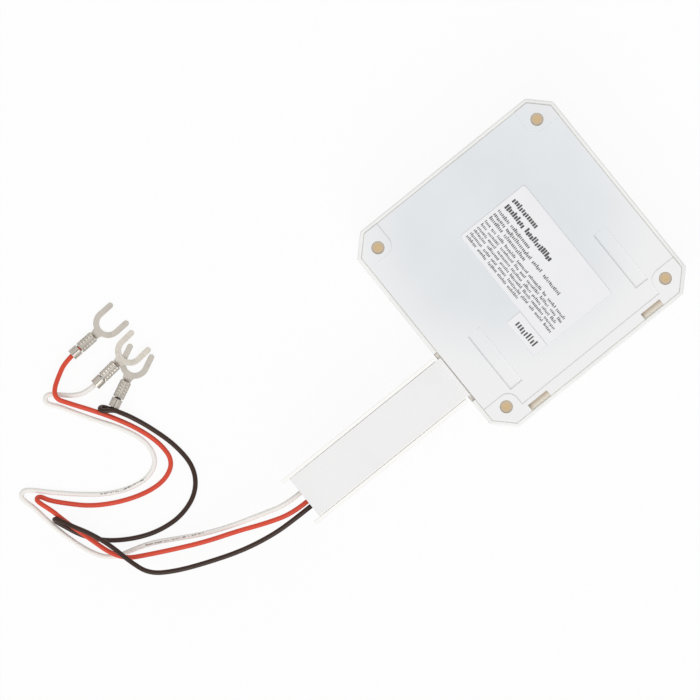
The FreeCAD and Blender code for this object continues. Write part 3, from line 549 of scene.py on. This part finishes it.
def dress(slot, material):
    """Gives a finish to every construction node of one material slot."""
    for part in frame["record"]["subparts"]:
        if part["material_slot"] != slot:
            continue
        for place in frame["nodes"][part["node"]].material_slots:
            place.material = material


def add_mesh(name, bm, material, body):
    """Turns a bmesh into a piece that rides on one body."""
    mesh = bpy.data.meshes.new(name)
    bm.normal_update()
    bm.to_mesh(mesh)
    bm.free()
    mesh.materials.append(material)
    piece = bpy.data.objects.new(name, mesh)
    bpy.context.scene.collection.objects.link(piece)
    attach(piece, body)
    return piece


def add_slab(bm, x0, x1, y0, y1, z0, z1):
    """One square-edged block."""
    corners = [(x0, y0), (x1, y0), (x1, y1), (x0, y1)]
    lower = [bm.verts.new((x, y, z0)) for x, y in corners]
    upper = [bm.verts.new((x, y, z1)) for x, y in corners]
    bm.faces.new(lower[::-1])
    bm.faces.new(upper)
    for i in range(4):
        j = (i + 1) % 4
        bm.faces.new((lower[i], lower[j], upper[j], upper[i]))


def add_turned(bm, start, axis, side, profile, steps, smooth=False):
    """One round solid: its profile lists distances along the axis with the radius at each.

    Every ring has the given number of steps and begins towards side.
    """
    other = axis.cross(side)
    rings = []
    for along, radius in profile:
        ring = []
        for k in range(steps):
            turn = math.tau * k / steps
            out = (side * math.cos(turn) + other * math.sin(turn)) * radius
            ring.append(bm.verts.new(start + axis * along + out))
        rings.append(ring)
    for lower, upper in zip(rings, rings[1:]):
        for k in range(steps):
            j = (k + 1) % steps
            face = bm.faces.new((lower[k], lower[j], upper[j], upper[k]))
            face.smooth = smooth
    bm.faces.new(rings[0][::-1])
    bm.faces.new(rings[-1])


# Where the leads leave the duct's end, in millimetres, and how far they run straight on
LEAD_START_Y = -101.0
LEAD_LEVEL = 17.4
LEAD_STRAIGHT = 6.0
LEAD_EXITS = {"white": 12.7, "red": 16.2, "black": 18.1}

# Routes of the leads as they lie in the picture, in millimetres: y is counted from the duct's end
ROUTES = {
    "white": [
        (10.4, -13.1, 14.3), (7.7, -21.9, 10.7), (4.0, -31.2, 6.9), (-0.7, -39.7, 3.7),
        (-4.8, -47.0, 1.7), (-6.8, -53.1, 0.9), (-8.0, -57.9, 0.8), (-10.9, -61.7, 0.8),
        (-16.5, -64.6, 0.8), (-24.2, -66.9, 0.8), (-31.7, -68.3, 0.8), (-36.7, -68.8, 0.8),
        (-41.0, -70.1, 0.8), (-42.8, -69.6, 0.8), (-43.3, -67.8, 0.8), (-40.9, -65.0, 0.8),
        (-37.3, -61.6, 0.8), (-30.8, -54.6, 0.8), (-25.3, -47.6, 0.8), (-21.9, -39.7, 0.8),
        (-21.7, -33.2, 0.8), (-24.6, -28.7, 0.8), (-31.4, -27.8, 0.8), (-39.7, -31.5, 0.8),
        (-47.1, -36.6, 0.8), (-53.5, -40.4, 0.8), (-57.1, -42.4, 0.8), (-60.0, -44.9, 0.8),
        (-61.8, -44.5, 0.8), (-62.4, -42.7, 0.8), (-59.9, -39.9, 0.8), (-56.9, -36.8, 0.8),
        (-54.85, -32.38, 1.5), (-55.48, -25.64, 2.09),
    ],
    "red": [
        (13.4, -14.3, 14.7), (9.7, -22.8, 11.7), (5.9, -33.1, 8.7), (1.2, -42.9, 6.5),
        (-2.8, -50.7, 5.1), (-5.8, -56.1, 4.5), (-10.7, -59.2, 4.1), (-17.6, -61.1, 3.8),
        (-23.6, -62.9, 3.6), (-29.1, -64.3, 3.5), (-32.5, -65.0, 3.4), (-37.6, -66.8, 3.4),
        (-38.8, -66.4, 2.1), (-38.5, -65.1, 0.8), (-35.7, -63.7, 0.9), (-31.8, -60.3, 0.8),
        (-25.9, -54.5, 0.8), (-21.0, -46.3, 0.8), (-17.9, -37.5, 0.8), (-17.6, -30.2, 0.8),
        (-20.8, -25.0, 0.8), (-27.6, -24.7, 0.8), (-35.5, -27.1, 0.8), (-43.7, -31.3, 0.8),
        (-49.8, -35.2, 0.8), (-54.2, -38.2, 1.7), (-56.8, -39.9, 3.1), (-58.8, -41.2, 3.7),
        (-60.7, -41.2, 3.7), (-62.6, -39.7, 3.1), (-64.5, -36.7, 2.3), (-67.05, -31.8, 1.8),
        (-67.33, -25.51, 1.8),
    ],
    "black": [
        (17.7, -14.7, 14.9), (15.5, -25.5, 12.7), (11.5, -36.5, 11.1), (7.3, -46.2, 9.7),
        (2.6, -53.4, 8.7), (-4.3, -55.8, 8.1), (-12.2, -57.4, 7.5), (-19.2, -60.0, 7.1),
        (-24.2, -62.8, 6.5), (-26.5, -63.9, 5.8), (-29.4, -65.5, 5.1), (-30.1, -66.2, 3.6),
        (-29.1, -66.3, 2.1), (-25.6, -64.8, 1.7), (-22.8, -63.7, 1.2), (-18.9, -61.6, 0.8),
        (-13.6, -57.0, 0.8), (-8.8, -49.6, 0.8), (-6.0, -42.2, 0.8), (-5.3, -33.7, 0.8),
        (-8.2, -25.6, 0.8), (-14.8, -21.0, 0.8), (-24.1, -21.2, 0.8), (-33.7, -24.0, 0.8),
        (-40.2, -26.7, 1.5), (-43.3, -28.4, 2.8), (-45.2, -29.5, 3.8), (-47.3, -32.8, 4.0),
        (-48.6, -32.7, 2.4), (-48.2, -31.5, 0.8), (-45.51, -29.91, 1.4), (-46.51, -27.73, 1.8),
        (-47.37, -25.93, 1.8),
    ],
}

# Straight runs of faint strokes along leads, each from one end to the other, placed as in ROUTES
MARKS = {
    "white": (
        ((-27.4, -50.4), (-23.6, -43.9)),
        ((-23.6, -43.9), (-21.75, -35.0)),
        ((-5.4, -48.9), (3.6, -31.2)),
    ),
}

# Rear end of each fork, x and y from the end of the duct, and its heading and rise in degrees
FORKS = {
    "red": (-67.2, -28.95, 92.6, 0),
    "white": (-55.2, -28.9, 95.4, 5),
    "black": (-45.95, -29.05, 115.0, 0),
}


def lead_curve(colour, radius, material):
    """One lead as a smooth round line through its route."""
    x = LEAD_EXITS[colour]
    points = [(x, 0.0, LEAD_LEVEL), (x, -LEAD_STRAIGHT, LEAD_LEVEL), *ROUTES[colour]]
    curve = bpy.data.curves.new(colour + "_insulation", "CURVE")
    curve.dimensions = "3D"
    curve.bevel_depth = radius
    curve.bevel_resolution = 6
    curve.resolution_u = 8
    curve.use_fill_caps = True
    spline = curve.splines.new("NURBS")
    spline.points.add(len(points) - 1)
    for point, (px, py, pz) in zip(spline.points, points):
        point.co = (px * MM, (py + LEAD_START_Y) * MM, pz * MM, 1.0)
    spline.order_u = 3
    spline.use_endpoint_u = True
    spline.use_smooth = True
    curve.materials.append(material)
    return curve


class TRANSMITTER_OT_leads(bpy.types.Operator):
    """Lays the white, red and black leads from the duct to their fork terminals"""

    bl_idname = "transmitter.leads"
    bl_label = "Free leads"

    def execute(self, context):
        colours = context.scene.transmitter_colours
        radius = context.scene.transmitter_sizes.lead_radius
        for colour in ROUTES:
            shine = 0.3 if colour == "black" else 0.36
            tint = getattr(colours, colour + "_lead")
            material = insulation(colour + " insulation", tint, shine, MARKS.get(colour, ()))
            dress(colour + "_wire", material)
            curve = lead_curve(colour, radius, material)
            piece = bpy.data.objects.new(curve.name, curve)
            context.scene.collection.objects.link(piece)
            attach(piece, "housing")
            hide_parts(colour + "_lead")
        return {"FINISHED"}


class TRANSMITTER_OT_mouldings(bpy.types.Operator):
    """Finishes the case, the back plate, the duct and the lead clamp"""

    bl_idname = "transmitter.mouldings"
    bl_label = "Housing, plate and duct"

    def execute(self, context):
        colours = context.scene.transmitter_colours
        sizes = context.scene.transmitter_sizes
        edge = sizes.edge_radius / MM
        # Painted glow in the seams of the housing and the clamp
        shell = seam_glow_finish()
        case = moulded("Housing satin", colours.case, roughness=0.4, edge=edge, finish=shell)
        dress("case", case)
        fine = {"roughness": 0.36, "grain": 0.25, "depth": 0.005, "spread": 0.018, "edge": edge}
        dress("plate", moulded("Plate satin", colours.plate, finish=self.plate_finish(colours), **fine))
        coarse = {"roughness": 0.44, "grain": 0.35, "depth": 0.005, "spread": 0.02, "edge": edge * 0.8}
        dress("duct", moulded("Duct satin", colours.duct, finish=self.duct_finish(colours), **coarse))
        dress("clamp", moulded("Clamp satin", colours.clamp, edge=edge * 0.8, finish=shell))
        self.seals(colours, sizes)
        return {"FINISHED"}

    def plate_finish(self, colours):
        """Cool middle with a painted lighter shade round it, painted shade in the pry notches that grows
        paler towards the edge, and little painted glow in the lip over the duct's root, which keeps its
        shadow line.

        Each span holds the faces that it tints, with small margins round them.
        """
        far, top = (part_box("back_plate")[1][i] / MM for i in (0, 2))
        left, right = (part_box("duct_cover")[i][0] / MM for i in (0, 1))
        strip_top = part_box("duct_base")[1][2] / MM
        # Painted shade in the pry notches, fading paler towards the edge
        pry = ((far - 2.25, far - 0.02), None, (top - 1.6, top - 0.7))
        pry_fade = fading(colours.pry_deep_shade, colours.pry_edge_shade, far - 1.95, far - 0.2)
        # Painted lighter shade round the plate's middle
        middle = (colours.plate_lit_rim, (-16.0, 4.0), (44.0, 44.0))
        # Lip over the duct's root: neutral colour and little glow, so it keeps its shadow line
        lip = ((left, right), (-far - 0.02, -far + 0.05), (strip_top - 1.0, top - 0.4))
        return seam_glow_finish(((pry, pry_fade),), middle, lip)

    def duct_finish(self, colours):
        """Painted light on the cover's rims, painted warm shade on the ears, a neutral colour and little glow
        in the groove at the root so it keeps its shadow line, and strong painted glow that all but hides one
        long seam.

        Each span holds the faces that it tints, with small margins round them.
        """
        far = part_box("back_plate")[1][0] / MM
        wall, strip_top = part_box("front_cover")[0][1] / MM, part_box("duct_base")[1][2] / MM
        left, right = (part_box("duct_cover")[i][0] / MM for i in (0, 1))
        # Groove at the root: neutral colour and little glow, so it keeps its shadow line
        groove = ((left, right), (-far - 0.6, -far + 0.02), (strip_top - 1.4, strip_top - 0.03))
        # Long seam: strong painted glow that all but hides it
        seam = ((right - 1.45, right - 1.05), None, None)
        # Ears: painted warm shade
        ears = (None, (wall - 0.5, wall + 3.0), (strip_top - 3.75, strip_top - 0.75))
        lit = ((-200.0, wall), (strip_top - 0.5, strip_top + 1.0))
        # Cover's rims: painted light
        rims = (((left, left + 1.2), *lit), ((right - 1.65, right), *lit))
        patches = ((ears, colours.hollow), *((spans, colours.duct_lit_rim) for spans in rims))
        return seam_glow_finish(patches, None, groove, seam)

    def seals(self, colours, sizes):
        """Thin tan board discs pressed into the four screw holes of the back plate."""
        hole_inset = 7.5 * MM
        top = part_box("back_plate")[1][2] - sizes.seal_drop
        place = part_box("front_cover")[1][0] - hole_inset
        material = pressed_board("Hole seals", colours.seal, colours.seal_rim_shade, place / MM)
        steps = ((-0.3, 1.0), (-0.06, 1.0), (0.0, 0.97), (0.0, 0.35), (-0.05, 0.25))
        profile = [(lift * MM, sizes.seal_radius * share) for lift, share in steps]
        bm = bmesh.new()
        for x in (-place, place):
            for y in (-place, place):
                add_turned(bm, Vector((x, y, top)), UP, EAST, profile, 48)
        add_mesh("hole_seals", bm, material, "plate")


class Pen:
    """Draws plain upright strokes of uneven height on one sticker, like far-off print."""

    def __init__(self, level, depth, seed):
        self.level = level
        self.depth = depth
        self.chance = random.Random(seed)

    def row(self, bm, start, end, y, height, pitch, fill=(0.45, 0.7)):
        """One run of strokes from start to end along X, in millimetres; fill limits their widths."""
        tops, feet = (0.72, 0.72, 0.72, 1.0), (0.5, 0.5, 0.5, 0.62)
        top_level = self.level + self.depth
        x = start
        while x < end - pitch * 0.5:
            width = pitch * self.chance.uniform(*fill)
            top = height * self.chance.choice(tops)
            foot = y - height * self.chance.choice(feet)
            sides = (x * MM, (x + width) * MM, foot * MM, (foot + top) * MM)
            add_slab(bm, *sides, self.level, top_level)
            x += pitch


class TRANSMITTER_OT_stickers(bpy.types.Operator):
    """Finishes the two stickers and prints them with plain strokes"""

    bl_idname = "transmitter.stickers"
    bl_label = "Stickers and print"

    def execute(self, context):
        colours = context.scene.transmitter_colours
        sizes = context.scene.transmitter_sizes
        dress("label", film("Sticker film", colours.label))
        bold = printed("Bold print", colours.ink)
        small = printed("Small print", shaded(colours.ink, 1.5))
        self.rating_print(sizes, bold, small)
        self.date_print(sizes, bold)
        return {"FINISHED"}

    def rating_print(self, sizes, bold, small):
        """Two rows of bold strokes and nine rows of small ones; the maker's corner stays bare."""
        low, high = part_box("rating_label")
        left, top = low[0] / MM, high[1] / MM
        pen = Pen(high[2], sizes.ink_depth, 7)
        title, line = sizes.title_height / MM, sizes.line_height / MM
        title_rows = ((5.4, ((1.7, 13.8),)), (8.5, ((1.7, 10.4), (11.6, 24.0))))
        short_rows = ((11.4, (6.6, 17.0)), (13.2, (6.6, 19.8, 25.4, 34.2)), (14.9, (7.6, 19.2)))
        long_ends = (41.8, 41.8, 41.8, 41.8, 41.8, 26.8)
        margin, first_long, spacing = 1.3, 16.9, 1.5
        column_gap, word_gap, word_lengths = 1.0, 0.85, (1.8, 6.2)
        titles = bmesh.new()
        for drop, words in title_rows:
            for start, end in words:
                pen.row(titles, left + start, left + end, top - drop, title, 0.9, (0.64, 0.84))
        add_mesh("title_print", titles, bold, "plate")
        rows = bmesh.new()
        for drop, ends in short_rows:
            start = margin
            for end in ends:
                pen.row(rows, left + start, left + end, top - drop, line * 1.25, 0.62)
                start = end + column_gap
        for i, end in enumerate(long_ends):
            drop = first_long + i * spacing
            start = margin
            while start < end - 2.0:
                stop = min(end, start + pen.chance.uniform(*word_lengths))
                pen.row(rows, left + start, left + stop, top - drop, line, 0.52)
                start = stop + word_gap
        add_mesh("small_print", rows, small, "plate")

    def date_print(self, sizes, bold):
        """One row of bold strokes on the date sticker."""
        low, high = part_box("date_sticker")
        margin, length, height, pitch = 2.3, 9.6, 2.3, 1.05
        start, y = low[0] / MM + margin, (low[1] + high[1]) / 2 / MM
        bm = bmesh.new()
        pen = Pen(high[2], sizes.ink_depth, 5)
        pen.row(bm, start, start + length, y, height, pitch, (0.4, 0.6))
        add_mesh("date_print", bm, bold, "plate")


class TRANSMITTER_OT_metalwork(bpy.types.Operator):
    """Finishes the fork terminals, screws, cell, contacts and tinned parts"""

    bl_idname = "transmitter.metalwork"
    bl_label = "Metalwork"

    def execute(self, context):
        colours = context.scene.transmitter_colours
        rolled = {"grain": 0.5, "depth": 0.012, "dull": 0.35, "edge": 0.15, "turn": 0.4, "hollow_darkening": 0.5}
        dress("terminal", plated("Tin plate", colours.terminal, roughness=0.32, **rolled))
        dress("screw", plated("Zinc plate", srgb(190, 192, 192), grain=0.3, depth=0.006))
        drawn = {"roughness": 0.24, "grain": 0.8, "dull": 0.15, "edge": 0.3, "turn": 1.57}
        dress("cell", plated("Nickel cell can", srgb(206, 204, 198), **drawn))
        spring = {"roughness": 0.26, "grain": 0.25, "depth": 0.005}
        dress("contact", plated("Nickel spring", srgb(210, 206, 196), **spring))
        pressed = {"roughness": 0.32, "grain": 0.6, "depth": 0.006, "dull": 0.2, "edge": 0.15}
        dress("tin", plated("Drawn tin can", srgb(204, 204, 200), **pressed))
        return {"FINISHED"}


class TRANSMITTER_OT_electronics(bpy.types.Operator):
    """Finishes the circuit board and everything that stands on it"""

    bl_idname = "transmitter.electronics"
    bl_label = "Electronics"

    def execute(self, context):
        colours = context.scene.transmitter_colours
        dress("board", solder_mask("Solder mask", colours.board))
        nylon = {"roughness": 0.46, "grain": 0.35, "depth": 0.01, "spread": 0.1}
        dress("black_plastic", moulded("Holder nylon", srgb(34, 34, 36), **nylon))
        sleeve = {"roughness": 0.22, "grain": 1.4, "depth": 0.02, "spread": 0.08, "edge": 0.4, "coat": 0.5}
        dress("wrap", moulded("Shrink sleeve", srgb(38, 50, 86), **sleeve))
        dress("antenna", insulation("Aerial insulation", srgb(226, 178, 60)))
        epoxy = {"roughness": 0.55, "grain": 0.2, "depth": 0.012, "spread": 0.12, "edge": 0.1}
        dress("chip", moulded("Chip epoxy", srgb(36, 36, 38), **epoxy))
        dress("resistor", banded("Resistor lacquer"))
        fired = {"roughness": 0.5, "grain": 0.15, "spread": 0.1, "edge": 0.08}
        dress("ceramic_chip", moulded("Ceramic body", srgb(172, 140, 104), **fired))
        dress("button", moulded("Button satin", srgb(96, 96, 98), grain=0.25, spread=0.06, edge=0.15))
        dress("lamp", tinted("Green lamp", srgb(70, 190, 96)))
        natural = {"roughness": 0.4, "spread": 0.05, "edge": 0.15}
        dress("connector", moulded("Natural nylon", srgb(228, 222, 200), **natural))
        bright = plated("Solder", srgb(200, 200, 198), roughness=0.2, grain=0.8, depth=0.01, dull=0.15)
        self.solder(bright)
        self.outlines(printed("Board legend", srgb(226, 226, 220)))
        return {"FINISHED"}

    def solder(self, material):
        """Concave cones of solder where the legs of the power resistors meet the board."""
        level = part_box("circuit_board")[1][2]
        low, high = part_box("power_resistors")
        leg_radius, body_radius, foot, height = 0.35 * MM, 1.6 * MM, 0.95 * MM, 0.8 * MM
        flare, steps = foot - leg_radius, [i / 6 for i in range(7)]
        profile = [(height * t, leg_radius * 1.02 + flare * (1 - t) ** 2.4) for t in steps]
        bm = bmesh.new()
        for x in (low[0] + leg_radius, high[0] - leg_radius):
            for y in (low[1] + body_radius, high[1] - body_radius):
                add_turned(bm, Vector((x, y, level)), UP, EAST, profile, 20, True)
        add_mesh("leg_solder", bm, material, "housing")

    def outlines(self, material):
        """Thin printed frames round the parts on the board."""
        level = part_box("circuit_board")[1][2]
        gap, line, depth = 0.5 * MM, 0.18 * MM, 0.02 * MM
        bm = bmesh.new()
        for node in ("microcontroller", "crystal", "wire_header", "learn_switch", "power_resistors"):
            low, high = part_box(node)
            x0, x1, y0, y1 = low[0] - gap, high[0] + gap, low[1] - gap, high[1] + gap
            for a, b, c, d in (
                (x0, x1, y0, y0 + line),
                (x0, x1, y1 - line, y1),
                (x0, x0 + line, y0 + line, y1 - line),
                (x1 - line, x1, y0 + line, y1 - line),
            ):
                add_slab(bm, a, b, c, d, level, level + depth)
        add_mesh("board_legend", bm, material, "housing")


class TRANSMITTER_OT_strands(bpy.types.Operator):
    """Adds the cut copper strands that show in front of each crimp"""

    bl_idname = "transmitter.strands"
    bl_label = "Strand ends"

    def execute(self, context):
        radius = context.scene.transmitter_sizes.strand_radius
        copper = plated("Tinned copper", srgb(156, 142, 126), grain=0.3, dull=0.3)
        chance = random.Random(3)
        count = 7
        barrel_front, barrel_floor = 9.0 * MM, 1.6 * MM
        for colour, (x, y, heading, rise) in FORKS.items():
            bm = bmesh.new()
            turn = Matrix.Rotation(math.radians(heading), 4, "Z")
            turn = turn @ Matrix.Rotation(math.radians(-rise), 4, "Y")
            shift = Matrix.Translation((x * MM, (y + LEAD_START_Y) * MM, 0.0))
            for i in range(count):
                across = (i - (count - 1) / 2) * radius * 1.9
                level = barrel_floor + radius * (i % 2) * 1.5
                reach = chance.uniform(0.4, 0.8) * MM
                start = Vector((barrel_front, across, level))
                end = start + Vector((reach, across * 0.2, -0.1 * MM))
                self.strand(bm, start, end, radius)
            bm.transform(shift @ turn)
            add_mesh(colour + "_strands", bm, copper, "housing")
        return {"FINISHED"}

    def strand(self, bm, start, end, radius):
        """One round strand with a slightly domed, cut end."""
        axis = (end - start).normalized()
        reach = (end - start).length
        steps = ((0.0, 1.0), (0.5, 1.0), (0.9, 1.0), (0.98, 0.75), (1.0, 0.4))
        profile = [(reach * along, radius * share) for along, share in steps]
        add_turned(bm, start, axis, axis.orthogonal().normalized(), profile, 8, True)


class TRANSMITTER_OT_studio(bpy.types.Operator):
    """Sets the camera, the pale floor, the soft lamp and the white surroundings"""

    bl_idname = "transmitter.studio"
    bl_label = "Studio"

    def execute(self, context):
        studio = context.scene.transmitter_studio
        context.scene.view_settings.view_transform = "Standard"
        self.camera(context, studio)
        self.floor(studio)
        self.lamp(studio)
        self.surroundings(context, studio)
        return {"FINISHED"}

    def camera(self, context, studio):
        """Long lens straight above the back of the case, turned as in the picture."""
        centre_x, centre_y = -12.76 * MM, -59.85 * MM
        east_down, east_right = 0.778, 0.628
        lens = bpy.data.cameras.new("picture_camera")
        lens.lens = studio.lens * 1000
        lens.sensor_width = 36.0
        lens.clip_end = 100.0
        camera = bpy.data.objects.new("picture_camera", lens)
        context.scene.collection.objects.link(camera)
        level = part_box("back_plate")[1][2]
        distance = studio.frame_width * lens.lens / lens.sensor_width
        camera.location = (centre_x, centre_y, level + distance)
        camera.rotation_euler = (0.0, 0.0, math.atan2(east_down, east_right))
        context.scene.camera = camera

    def floor(self, studio):
        """Floor that shows as pure white and keeps only a little of the shadow."""
        g = new_graph("Floor")
        seen = self.seen(g)
        pale = g.node("ShaderNodeBsdfDiffuse", None, {"Color": (0.86, 0.86, 0.86)}).outputs[0]
        white = g.node("ShaderNodeEmission", None, {"Color": WHITE, "Strength": 1.0}).outputs[0]
        sockets = {0: seen * (1 - studio.shadow), 1: pale, 2: white}
        shader = g.node("ShaderNodeMixShader", None, sockets).outputs[0]
        g.node("ShaderNodeOutputMaterial", None, {0: shader})
        half, level = 1.5, -0.05 * MM
        mesh = bpy.data.meshes.new("floor")
        corners = [(-half, -half, level), (half, -half, level), (half, half, level), (-half, half, level)]
        mesh.from_pydata(corners, [], [(0, 1, 2, 3)])
        mesh.materials.append(g.owner)
        floor = bpy.data.objects.new("floor", mesh)
        bpy.context.scene.collection.objects.link(floor)

    def seen(self, g):
        """1 for rays that see the background directly, in a reflection or through something clear."""
        path = g.node("ShaderNodeLightPath")
        names = ("Is Camera Ray", "Is Glossy Ray", "Is Transmission Ray")
        rays = [Value(g, path.outputs[name]) for name in names]
        return rays[0].math("MAXIMUM", rays[1]).math("MAXIMUM", rays[2])

    def lamp(self, studio):
        """Wide, soft lamp from the right and above."""
        light = bpy.data.lights.new("soft_lamp", "SUN")
        light.energy = studio.sun
        light.angle = math.radians(50.0)
        lamp = bpy.data.objects.new("soft_lamp", light)
        bpy.context.scene.collection.objects.link(lamp)
        towards = Vector((0.5, -0.45, 0.85))
        lamp.rotation_euler = towards.to_track_quat("Z", "Y").to_euler()

    def surroundings(self, context, studio):
        """White all round: full for the rays that see it, weaker as a light."""
        world = bpy.data.worlds.new("white_room")
        context.scene.world = world
        g = Graph(world)
        seen = self.seen(g)
        strength = seen * (1 - studio.sky) + studio.sky
        sky = g.node("ShaderNodeBackground", None, {"Color": WHITE, "Strength": strength})
        g.node("ShaderNodeOutputWorld", None, {0: sky.outputs[0]})


class TRANSMITTER_PT_panel(bpy.types.Panel):
    """Lists the steps and the values they use"""

    bl_idname = "TRANSMITTER_PT_panel"
    bl_label = "Transmitter"
    bl_space_type = "VIEW_3D"
    bl_region_type = "UI"
    bl_category = "Transmitter"

    def draw(self, context):
        layout = self.layout
        for operator in OPERATORS:
            layout.operator(operator.bl_idname)
        for name in ("transmitter_colours", "transmitter_sizes", "transmitter_studio"):
            group = getattr(context.scene, name)
            box = layout.box()
            for key in group.__annotations__:
                box.prop(group, key)


GROUPS = {
    "transmitter_colours": TransmitterColours,
    "transmitter_sizes": TransmitterSizes,
    "transmitter_studio": TransmitterStudio,
}
OPERATORS = (
    TRANSMITTER_OT_leads,
    TRANSMITTER_OT_mouldings,
    TRANSMITTER_OT_stickers,
    TRANSMITTER_OT_metalwork,
    TRANSMITTER_OT_electronics,
    TRANSMITTER_OT_strands,
    TRANSMITTER_OT_studio,
)


def register():
    for cls in (*GROUPS.values(), *OPERATORS, TRANSMITTER_PT_panel):
        bpy.utils.register_class(cls)
    for name, group in GROUPS.items():
        setattr(bpy.types.Scene, name, bpy.props.PointerProperty(type=group))


def unregister():
    for name in GROUPS:
        delattr(bpy.types.Scene, name)
    for cls in (TRANSMITTER_PT_panel, *reversed(OPERATORS), *GROUPS.values()):
        bpy.utils.unregister_class(cls)


def main():
    register()
    for operator in OPERATORS:
        group, name = operator.bl_idname.split(".")
        getattr(getattr(bpy.ops, group), name)()


if __name__ == "__main__":
    main()
